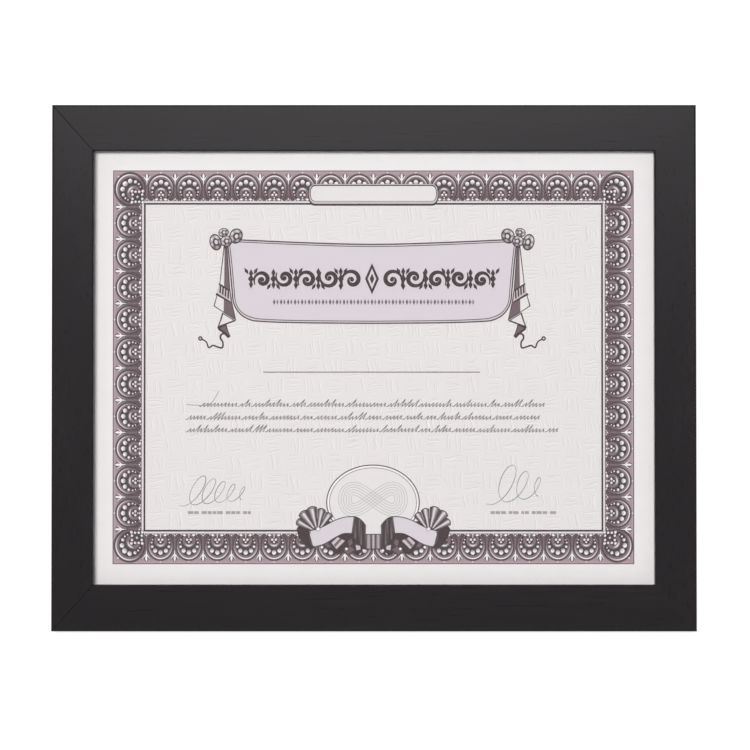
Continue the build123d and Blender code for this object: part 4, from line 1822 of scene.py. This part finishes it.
@dataclass
class PenWork:
    """Ruled and penned lines: a name rule, three lines of pen waves and two idle flourishes.

    Attributes:
        rule: The name rule's left end, right end and height.
        line_heights: The heights of the three lines.
        line_reach: How far each line runs left and right.
        wave: The length of one pen wave.
        tall: The height of a usual wave.
        slant: How far the pen leans.
        seed: What sets the waves' unevenness.
        bar_heights: The heights of the short bars' upper and lower edges.
        bar_reach: How far each row of bars runs left and right.
    """

    rule: tuple[float, float, float] = (-53.4, 51.8, -2.45)
    line_heights: tuple[float, ...] = (-19.1, -25.35, -31.45)
    line_reach: tuple[Point, ...] = ((-84.0, 83.6), (-90.6, 80.2), (-90.6, 90.6))
    wave: float = 1.72
    tall: float = 1.75
    slant: float = 0.8
    seed: int = 11
    bar_heights: Point = (-69.9, -71.3)
    bar_reach: tuple[Point, ...] = ((-90.0, -59.4), (56.8, 89.0))

    def wave_line(self, plates: InkPlates, height: float, reach: Point, chance: random.Random) -> None:
        """One line of slanted pen waves in groups, some of them taller.

        Args:
            plates: What the ink goes on.
            height: The line's height.
            reach: Its left and right ends.
            chance: Where its unevenness comes from.
        """
        x, end = reach
        while x < end - 2 * self.wave:
            waves = min(chance.randint(3, 11), int((end - x) / self.wave))
            path = [(x - 0.5, height + 0.1)]
            for k in range(waves):
                top = self.tall * (2.0 if chance.random() < 0.16 else chance.uniform(0.85, 1.1))
                left = x + k * self.wave
                for share, level in ((0.1, 0.0), (0.3, 0.5), (0.5, 1.0), (0.7, 0.5), (0.9, 0.0)):
                    rise = top * level
                    path.append((left + share * self.wave + rise * self.slant, height + rise))
            path.append((x + waves * self.wave + 0.5, height + 0.5))
            line = smooth(path, 2)
            plates.stroke(line, lambda share: 0.36 + 0.1 * math.sin(share * 60), Inks.SCRIPT.value, 2)
            x += (waves + 0.8) * self.wave

    def flourish(self, plates: InkPlates, centre: Point, wide: float, high: float, loops: float,
                 lean: float) -> None:
        """An idle run of pen loops that shrink to one side.

        Args:
            plates: What the ink goes on.
            centre: Its middle.
            wide: Its width.
            high: Its largest loop's height.
            loops: How many loops it makes.
            lean: How far it slants.
        """
        steps = round(loops * 22)
        path = []
        for i in range(steps + 1):
            share = i / steps
            angle = math.tau * loops * share - 1.9
            size = high / 2 * (1 - 0.62 * share)
            rise = size * math.sin(angle)
            x = centre[0] - wide / 2 + wide * share + size * 0.55 * math.cos(angle) + rise * lean
            path.append((x, centre[1] + rise - high * 0.12 * share))
        plates.stroke(path, lambda share: 0.36 - 0.1 * math.cos(share * 40), Inks.PEN.value, 2)

    def bars(self, plates: InkPlates, reach: Point, chance: random.Random) -> None:
        """A row of short plain bars below a flourish.

        Args:
            plates: What the ink goes on.
            reach: Its left and right ends.
            chance: Where the bars' lengths come from.
        """
        x, tone = reach[0], blended(Inks.SCRIPT.value, Inks.PANEL.value, 0.3)
        top, low = self.bar_heights
        while x < reach[1] - 1.0:
            end = min(x + chance.uniform(1.2, 3.0), reach[1])
            plates.shape([(x, top), (end, top), (end, low), (x, low)], tone, 2)
            x = end + chance.choice((0.4, 0.4, 1.4))

    def build(self, press: Press) -> None:
        """Prints the lines.

        Args:
            press: What lays the ink on the sheet.
        """
        plates = InkPlates()
        left, right, height = self.rule
        plates.stroke([(left, height), (right, height)], 0.5, Inks.SCRIPT.value, 2)
        chance = random.Random(self.seed)
        for level, reach in zip(self.line_heights, self.line_reach):
            self.wave_line(plates, level, reach, chance)
        sweep = smooth([(-75.0, -11.6), (-77.5, -16.0), (-80.0, -18.2), (-84.5, -18.6), (-90.6, -18.2)], 6)
        plates.stroke(sweep, 0.34, blended(Inks.SCRIPT.value, Inks.PANEL.value, 0.25), 2.3)
        self.flourish(plates, (-75.5, -59.8), 27.0, 15.5, 5.0, 0.5)
        self.flourish(plates, (71.0, -56.4), 22.0, 21.0, 3.0, 0.35)
        for reach in self.bar_reach:
            self.bars(plates, reach, chance)
        press.lay("pen_lines", plates)


@dataclass
class SealPlace:
    """The oval for a seal, with a pen knot in it and draped ribbon below it.

    Attributes:
        centre: The oval's centre.
        size: Its half width and half height.
        knot_size: The half width and half height of the knot's middle line.
        lanes: How many lines run side by side through the knot.
        lane_gap: From one of them to the next.
        knot_rise: How far above the oval's centre the knot sits.
    """

    centre: Point = (-0.2, -65.7)
    size: Point = (22.7, 18.4)
    knot_size: Point = (13.6, 5.2)
    lanes: int = 6
    lane_gap: float = 1.22
    knot_rise: float = 1.6

    def oval(self, shrink: float) -> list[Point]:
        """The oval's line, drawn in by a given amount.

        Args:
            shrink: How much smaller each half size is.

        Returns:
            The line's points.
        """
        turns = [math.tau * i / 72 for i in range(72)]
        wide, high = self.size[0] - shrink, self.size[1] - shrink
        return [(self.centre[0] + wide * math.cos(a), self.centre[1] + high * math.sin(a)) for a in turns]

    def knot(self, plates: InkPlates) -> None:
        """Lines side by side round a long figure of eight, in two halves that cross in the middle.

        Args:
            plates: What the ink goes on.
        """
        wide, high = self.knot_size
        middle = self.centre[1] + self.knot_rise
        steps = 60
        for lane in range(self.lanes):
            aside = (lane - (self.lanes - 1) / 2) * self.lane_gap
            for half in (0, 1):
                path = []
                for i in range(steps + 1):
                    turn = math.pi * (half + i / steps)
                    along = Vector((-wide * math.sin(turn), 2 * high * math.cos(2 * turn))).normalized()
                    path.append((self.centre[0] + wide * math.cos(turn) + along.y * aside,
                                 middle + high * math.sin(2 * turn) - along.x * aside))
                plates.stroke(path, 0.34, Inks.KNOT.value, 7.6 + 0.6 * half + 0.07 * lane)

    def fan(self, plates: InkPlates) -> None:
        """Rounded pleats that spread from behind the scroll.

        Args:
            plates: What the ink goes on.
        """
        root = Vector((-27.2, -80.2))
        dark, umber, white = Inks.PLUM_BLACK.value, Inks.UMBER.value, Inks.WHITE.value
        tones = (dark, blended(umber, white, 0.2), blended(umber, white, 0.9), umber, dark)
        ground = [(-36.8, -77.6), (-33, -74), (-28, -73.2), (-20.2, -75), (-19, -79), (-27, -84),
                  (-34, -84)]
        plates.shape(ground, dark, 7)
        pleats = ((172, 9.2, 9), (150, 10.6, 11), (127, 11.8, 12), (103, 12.0, 12), (79, 11.0, 11),
                  (56, 10.4, 11))
        for number, (lean, reach, spread) in enumerate(pleats):
            layer = 7.2 + 0.1 * (number % 3)
            edges = []
            for step in range(5):
                angle = math.radians(lean + spread - spread * step / 2)
                bulge = reach + 0.8 * math.sin(math.pi * step / 4)
                out = Vector((math.cos(angle), math.sin(angle)))
                edges.append([tuple(root + arm) for arm in (out * 2.6, out * bulge * 0.6, out * bulge)])
            plates.grid(edges, tones, layer, False)
            plates.stroke([edge[2] for edge in edges], 0.5, dark, layer + 0.2)
        self.pearl(plates, (-26.8, -78.6), 1.1)

    def pearl(self, plates: InkPlates, centre: Point, radius: float) -> None:
        """A light bead with a dark rim."""
        plates.disc(centre, [(radius * 0.6, Inks.WHITE.value), (radius, Inks.PLUM_BLACK.value)], 8.6, 12)

    def foliage(self, plates: InkPlates) -> None:
        """The dark leaves and turned ribbon ends below the scroll.

        Args:
            plates: What the ink goes on.
        """
        dark, pale = Inks.PLUM_BLACK.value, Inks.SHELL.value
        grey = blended(Inks.UMBER.value, Inks.MAUVE.value, 0.4)
        mass = [(-26.5, -85.0), (-22.6, -88.4), (-19.6, -89.0), (-17.2, -91.2), (-14.6, -89.9),
                (-12.2, -91.6), (-9.6, -90.0), (-7.2, -91.2), (-3.9, -88.0), (-5.0, -80.4), (-12.0, -80.4),
                (-24.0, -83.6)]
        plates.shape(mass, dark, 6.6)
        for points, tone in (
                ([(-20.3, -85.2), (-17.4, -82.5), (-13.8, -84.3), (-17.9, -88.3)], pale),
                ([(-19.2, -86.2), (-16.2, -83.1), (-15.2, -83.6), (-18.5, -87.3)], grey),
                ([(-14.4, -89.3), (-11.4, -86.9), (-9.0, -88.6), (-12.1, -91.0)], grey),
                ([(-12.4, -84.4), (-10.6, -83.2), (-10.0, -85.8), (-11.8, -87.0)], grey),
                ([(-24.2, -85.4), (-22.0, -85.2), (-20.6, -87.2), (-22.4, -87.6)], grey),
                ([(-8.6, -86.2), (-6.4, -86.8), (-6.2, -88.4), (-8.2, -88.9)], pale)):
            plates.shape(points, tone, 6.9 if tone == pale else 7.0)
        for x, y in ((-4.6, -89.0), (-13.1, -88.2), (-25.0, -87.4)):
            self.pearl(plates, (x, y), 0.8)

    def scroll(self, plates: InkPlates) -> None:
        """One half of the draped ribbon: a lilac run and its dark turned ends.

        Args:
            plates: What the ink goes on.
        """
        dark, umber, white, lilac = (
            ink.value for ink in (Inks.PLUM_BLACK, Inks.UMBER, Inks.WHITE, Inks.LILAC))
        top = smooth([(-31.2, -79.6), (-25.5, -77.9), (-19.0, -74.5), (-13.8, -72.8), (-9.6, -72.6)], 6)
        low = smooth([(-29.2, -87.3), (-23.8, -85.8), (-18.0, -82.4), (-14.4, -80.8), (-10.6, -80.7)], 6)
        turned = [(-31.0, -79.4), (-36.6, -78.0), (-36.2, -82.6), (-33.2, -86.6), (-28.6, -87.7)]
        plates.shape(smooth(turned, 4, closed=True), dark, 7.6)

        def fold_tint(place: Point) -> Colour:
            """A few dull streaks down a dark fold."""
            streak = max(0.0, math.sin(place[0] * 2.3 + place[1] * 0.12 + 0.6)) ** 4
            return blended(dark, blended(umber, white, 0.22), streak * 0.8)

        steps = 16
        rows = []
        for i in range(steps + 1):
            share = i / steps
            crest = (-9.9 + 6.3 * share, -72.6 - 4.6 * share**2.2)
            hem = (-10.8 + 7.0 * share, -80.7 - 7.6 * share**0.8)
            rows.append([crest, hem])
        plates.grid(rows, [fold_tint] * len(rows), 8, False)
        plates.stroke([row[0] for row in rows], 0.5, dark, 8.6)
        plates.grid([top, low], [lilac, lilac], 8.2, False)
        for line in (top, low):
            plates.stroke(line, 0.42, dark, 8.6)
        plates.stroke([(-30.6, -79.8), (-31.4, -82.5), (-30.2, -85.4), (-29.0, -87.2)], 0.5, umber, 8.6)

    def drape(self, plates: InkPlates) -> None:
        """The shaded piece of ribbon between the two scrolls.

        Args:
            plates: What the ink goes on.
        """
        dark = Inks.PLUM_BLACK.value
        rows = [[(-4.4 + 0.4 * i, y) for i in range(23)] for y in (-81.3, -88.0)]

        def folds(place: Point) -> Colour:
            """Uneven folds, lightest in the middle."""
            wave = 0.5 + 0.5 * math.cos(place[0] * 2.6 + 0.5 * math.sin(place[0] * 1.3))
            return blended(dark, Inks.SHELL.value, wave * max(0.0, 1 - (place[0] / 4.6) ** 2))

        plates.shape([(-4.6, -80.9), (4.6, -80.9), (4.9, -88.5), (-4.9, -88.5)], dark, 7)
        plates.grid(rows, [folds, folds], 7.4, False)

    def build(self, press: Press) -> None:
        """Prints the seal's place.

        Args:
            press: What lays the ink on the sheet.
        """
        plates = InkPlates()
        plates.shape(self.oval(0.0), Inks.PLUM_BLACK.value, 6)
        plates.grid([self.oval(1.6), self.oval(0.5)], [Inks.WHITE.value] * 2, 6.4, True)
        plates.shape(self.oval(1.35), Inks.PANEL.value, 6.5)
        plates.stroke(self.oval(1.6), 0.3, Inks.MAUVE.value, 6.7, closed=True)
        self.knot(plates)
        self.drape(plates)
        for side in (1, -1):
            plates.flip = side
            self.foliage(plates)
            self.fan(plates)
            self.scroll(plates)
        press.lay("seal_place", plates)


@dataclass
class Certificate:
    """The paper sheet and everything printed on it.

    Attributes:
        size: The paper's half width and half height.
        front: How far the paper's front lies behind the node's front, which leaves room for the ink.
        print_shift: How far the print sits off the paper's middle, right and up.
        tab_steps: The blank tab's steps inwards: half width, half height and the height of the middle.
        tab_end: How far its rounded ends reach, as a share of their half height.
        tab_squareness: How square the ends are, from 1 for an ellipse down towards 0.
    """

    size: Point = (139.7, 107.95)
    front: float = 0.2
    print_shift: Point = (-0.3, 0.47)
    tab_steps: tuple[tuple[float, float, float], ...] = (
        (31.5, 4.88, 83.33), (31.2, 4.8, 84.2), (30.8, 4.03, 84.58), (30.45, 3.67, 84.39))
    tab_end: float = 0.72
    tab_squareness: float = 0.76

    def blank_tab(self, plates: InkPlates) -> None:
        """The blank tab over the top of the border, with a thin double edge and a grey lower lip.

        Args:
            plates: What the ink goes on.
        """
        grey = blended(Inks.UMBER.value, Inks.PANEL.value, 0.66)
        tints = (Inks.PLUM_BLACK.value, grey, Inks.OUTLINE.value, Inks.PANEL.value)
        for number, ((wide, high, middle), tint) in enumerate(zip(self.tab_steps, tints)):
            reach = high * self.tab_end
            square = self.tab_squareness
            outline = [((wide - reach + reach * abs(x) ** square) * side,
                        middle + math.copysign(high * abs(y) ** square, y))
                       for side in (1, -1) for x, y in arc((0, 0), 1, -90 * side, 180 - 90 * side, 18)]
            plates.shape(outline, tint, 7 + 0.4 * number)

    def build(self, finish: Material) -> None:
        """Makes the paper and prints it.

        Args:
            finish: The printed paper's material.
        """
        press = Press(finish, PLANE.drawing(self.front))
        thick = (PLANE.depths("certificate_sheet")[1] - self.front) * MM
        paper = InkPlates()
        paper.block(self.size, Inks.PAPER.value, 1)
        for point in paper.points:
            point.z = 0.0 if point.z > 0 else -thick
        leaf = press.lay("certificate_paper", paper)
        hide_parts("certificate_sheet")
        press = press.moved(Matrix.Translation(Vector((*self.print_shift, 0)) * MM))
        for work in (ArchBorder(), EmbossedPanel(), TitleBanner(), PenWork(), SealPlace()):
            work.build(press)
        tab = InkPlates()
        self.blank_tab(tab)
        press.lay("blank_tab", tab)


class NodeFinish(Enum):
    """Which finish each modelled piece has, by the start of its name."""

    LEVEL_RAILS = ("rail_top", "rail_bottom")
    UPRIGHT_RAILS = ("rail_left", "rail_right")
    GLASS = ("glass_pane",)
    CARD = ("filler_card",)
    BOARDS = ("back_board", "easel_head")
    LEG = ("easel_leg",)
    ZINC = ("corner_nails", "turn_button", "button_screws", "hinge", "head_rivets", "leg_rivets",
            "stay_rivet")
    BRASS = ("hanger",)
    PADS = ("bumper_pads",)

    @classmethod
    def of_node(cls, node: str) -> "NodeFinish | None":
        """The finish of a node, or None if another piece stands for it."""
        return next((kind for kind in cls if node.startswith(kind.value)), None)


@dataclass
class Carcass:
    """The rails, boards, hardware and glass, which keep their own shapes and get their finishes here."""

    def finishes(self) -> dict[NodeFinish, Material]:
        """Each kind of finish, built once.

        Returns:
            Each kind's material.
        """
        back = tuple(PLANE.back)
        zinc = PlatedSteel("zinc_plated_steel", linear(205, 207, 210), linear(172, 175, 180))
        brass = PlatedSteel("brass_plated_steel", linear(214, 178, 104), linear(182, 146, 84),
                            linear(168, 150, 120))
        swing = Matrix.Rotation(LEG_SWING, 3, "X")
        return {
            NodeFinish.LEVEL_RAILS: SatinLacquer("black_lacquer_level", (0.05, 1, 1)).build(),
            NodeFinish.UPRIGHT_RAILS: SatinLacquer("black_lacquer_upright", (1, 1, 0.05)).build(),
            NodeFinish.GLASS: ClearGlass().build(),
            NodeFinish.CARD: BrownCard().build(),
            NodeFinish.BOARDS: FacedBoard("black_faced_board", back).build(),
            NodeFinish.LEG: FacedBoard("black_faced_leg", tuple(swing @ PLANE.back)).build(),
            NodeFinish.ZINC: zinc.build(),
            NodeFinish.BRASS: brass.build(),
            NodeFinish.PADS: SoftPad().build(),
        }

    def build(self) -> None:
        """Gives each node its finish."""
        finishes = self.finishes()
        for name, node in sorted(frame["nodes"].items()):
            kind = NodeFinish.of_node(name)
            if kind is None:
                continue
            node.data.materials.clear()
            node.data.materials.append(finishes[kind])
            LOG.info("%s: %s", name, finishes[kind].name)


@dataclass
class Viewpoint:
    """The photographer's place, square in front of the leaning face and a little below its normal.

    Attributes:
        distance: From the face to the lens.
        elevation: The height above the horizon, in degrees.
        field: The width of what the picture shows at the face.
        aim_right: How far right of the face's middle the picture's middle lies.
        aim_down: How far below it.
        sensor: The sensor's width.
    """

    distance: float = 1500.0
    elevation: float = 12.86
    field: float = 362.45
    aim_right: float = 0.48
    aim_down: float = 3.51
    sensor: float = 36.0

    def build(self) -> None:
        """Makes the camera."""
        face = PLANE.depths("rail_top")[0]
        target = PLANE.at(self.aim_right, -self.aim_down, face)
        angle = math.radians(self.elevation)
        away = Vector((0, -math.cos(angle), math.sin(angle)))
        camera = bpy.data.cameras.new("camera")
        camera.sensor_width = self.sensor
        camera.lens = self.sensor * self.distance / self.field
        camera.clip_start, camera.clip_end = 0.05, 50.0
        holder = bpy.data.objects.new("camera", camera)
        holder.location = target + away * self.distance * MM
        holder.rotation_mode = "QUATERNION"
        holder.rotation_quaternion = (-away).to_track_quat("-Z", "Y")
        bpy.context.scene.collection.objects.link(holder)
        bpy.context.scene.camera = holder


@dataclass(frozen=True)
class Lamp:
    """One soft lamp.

    Attributes:
        name: Its name.
        place: Metres right of the certificate's middle, up its plane and out in front of it.
        size: Its width and height in metres.
        power: Its power in watts.
        sheen: Whether it gives only the sheen on gloss, and otherwise only plain light.
    """

    name: str
    place: tuple[float, float, float]
    size: Point
    power: float
    sheen: bool = False

    def build(self) -> None:
        """Makes the lamp and turns it to the certificate."""
        across, up, forward = self.place
        light = bpy.data.lights.new(self.name, "AREA")
        light.shape = "RECTANGLE"
        light.size, light.size_y = self.size
        light.energy = self.power
        holder = bpy.data.objects.new(self.name, light)
        holder.location = PLANE.at(across / MM, up / MM, -forward / MM)
        holder.rotation_mode = "QUATERNION"
        holder.rotation_quaternion = (PLANE.origin - holder.location).to_track_quat("-Z", "Y")
        holder.visible_glossy, holder.visible_diffuse = self.sheen, not self.sheen
        holder.visible_transmission = False
        bpy.context.scene.collection.objects.link(holder)


@dataclass
class Studio:
    """A white sweep under an even sky, a soft lamp beside the camera and one above it.

    Attributes:
        floor_half: The floor's half size in metres.
        ambient: The sky's strength on the object.
        floor_lift: How much the floor is brightened where it is seen.
        floor_white: The floor's own colour.
        lamps: The lamps.
    """

    floor_half: float = 6.0
    ambient: float = 0.205
    floor_lift: float = 0.8
    floor_white: Colour = (0.94, 0.94, 0.94)
    lamps: tuple[Lamp, ...] = (
        Lamp("lamp_beside_camera", (-1.0, 0.6, 6.0), (1.7, 1.0), 286.0),
        Lamp("sheen_above_camera", (0.0, 0.4375, 1.2), (0.7, 0.26), 6.6, sheen=True),
    )

    def seen(self, maker: NodeMaker) -> Socket:
        """1 for what the camera, a gloss or the glass sees, and 0 for light that falls on the object.

        Args:
            maker: What makes the nodes.

        Returns:
            The mask's socket.
        """
        path = maker.add("ShaderNodeLightPath")
        gloss = maker.math("MAXIMUM", path.outputs["Is Camera Ray"], path.outputs["Is Glossy Ray"])
        return maker.math("MAXIMUM", gloss, path.outputs["Is Transmission Ray"])

    def sky(self) -> None:
        """Makes the world."""
        world = bpy.data.worlds.new("studio_sky")
        bpy.context.scene.world = world
        world.use_nodes = True
        maker = NodeMaker(world.node_tree)
        background = world.node_tree.nodes["Background"]
        background.inputs["Color"].default_value = (1, 1, 1, 1)
        maker.feed(background.inputs["Strength"], maker.between(self.seen(maker), self.ambient, 1.0))

    def floor(self) -> None:
        """Makes the floor, which shows white but keeps the object's shadow."""
        half = self.floor_half
        mesh = bpy.data.meshes.new("studio_floor")
        corners = [(-half, -half, 0), (half, -half, 0), (half, half, 0), (-half, half, 0)]
        mesh.from_pydata(corners, [], [(0, 1, 2, 3)])
        paint = Paint.named("white_sweep", Specular_IOR_Level=0.0, Base_Color=(*self.floor_white, 1.0),
                            Roughness=1.0, Emission_Color=(1, 1, 1, 1))
        lift = paint.math("MULTIPLY", self.seen(paint), self.floor_lift)
        paint.feed(paint.shader.inputs["Emission Strength"], lift)
        linked("studio_floor", mesh, paint.material)

    def build(self) -> None:
        """Makes the sky, the floor and the lamps."""
        self.sky()
        self.floor()
        for lamp in self.lamps:
            lamp.build()
        bpy.context.scene.view_settings.view_transform = "Standard"


def main() -> None:
    """Builds the camera, the studio, the finishes, the certificate and the ribbon, in that order."""
    logging.basicConfig(level=logging.INFO, format="%(message)s")
    Viewpoint().build()
    Studio().build()
    Carcass().build()
    Certificate().build(PrintedPaper().build())
    StayRibbon().build(WovenTape().build())


if __name__ == "__main__":
    main()
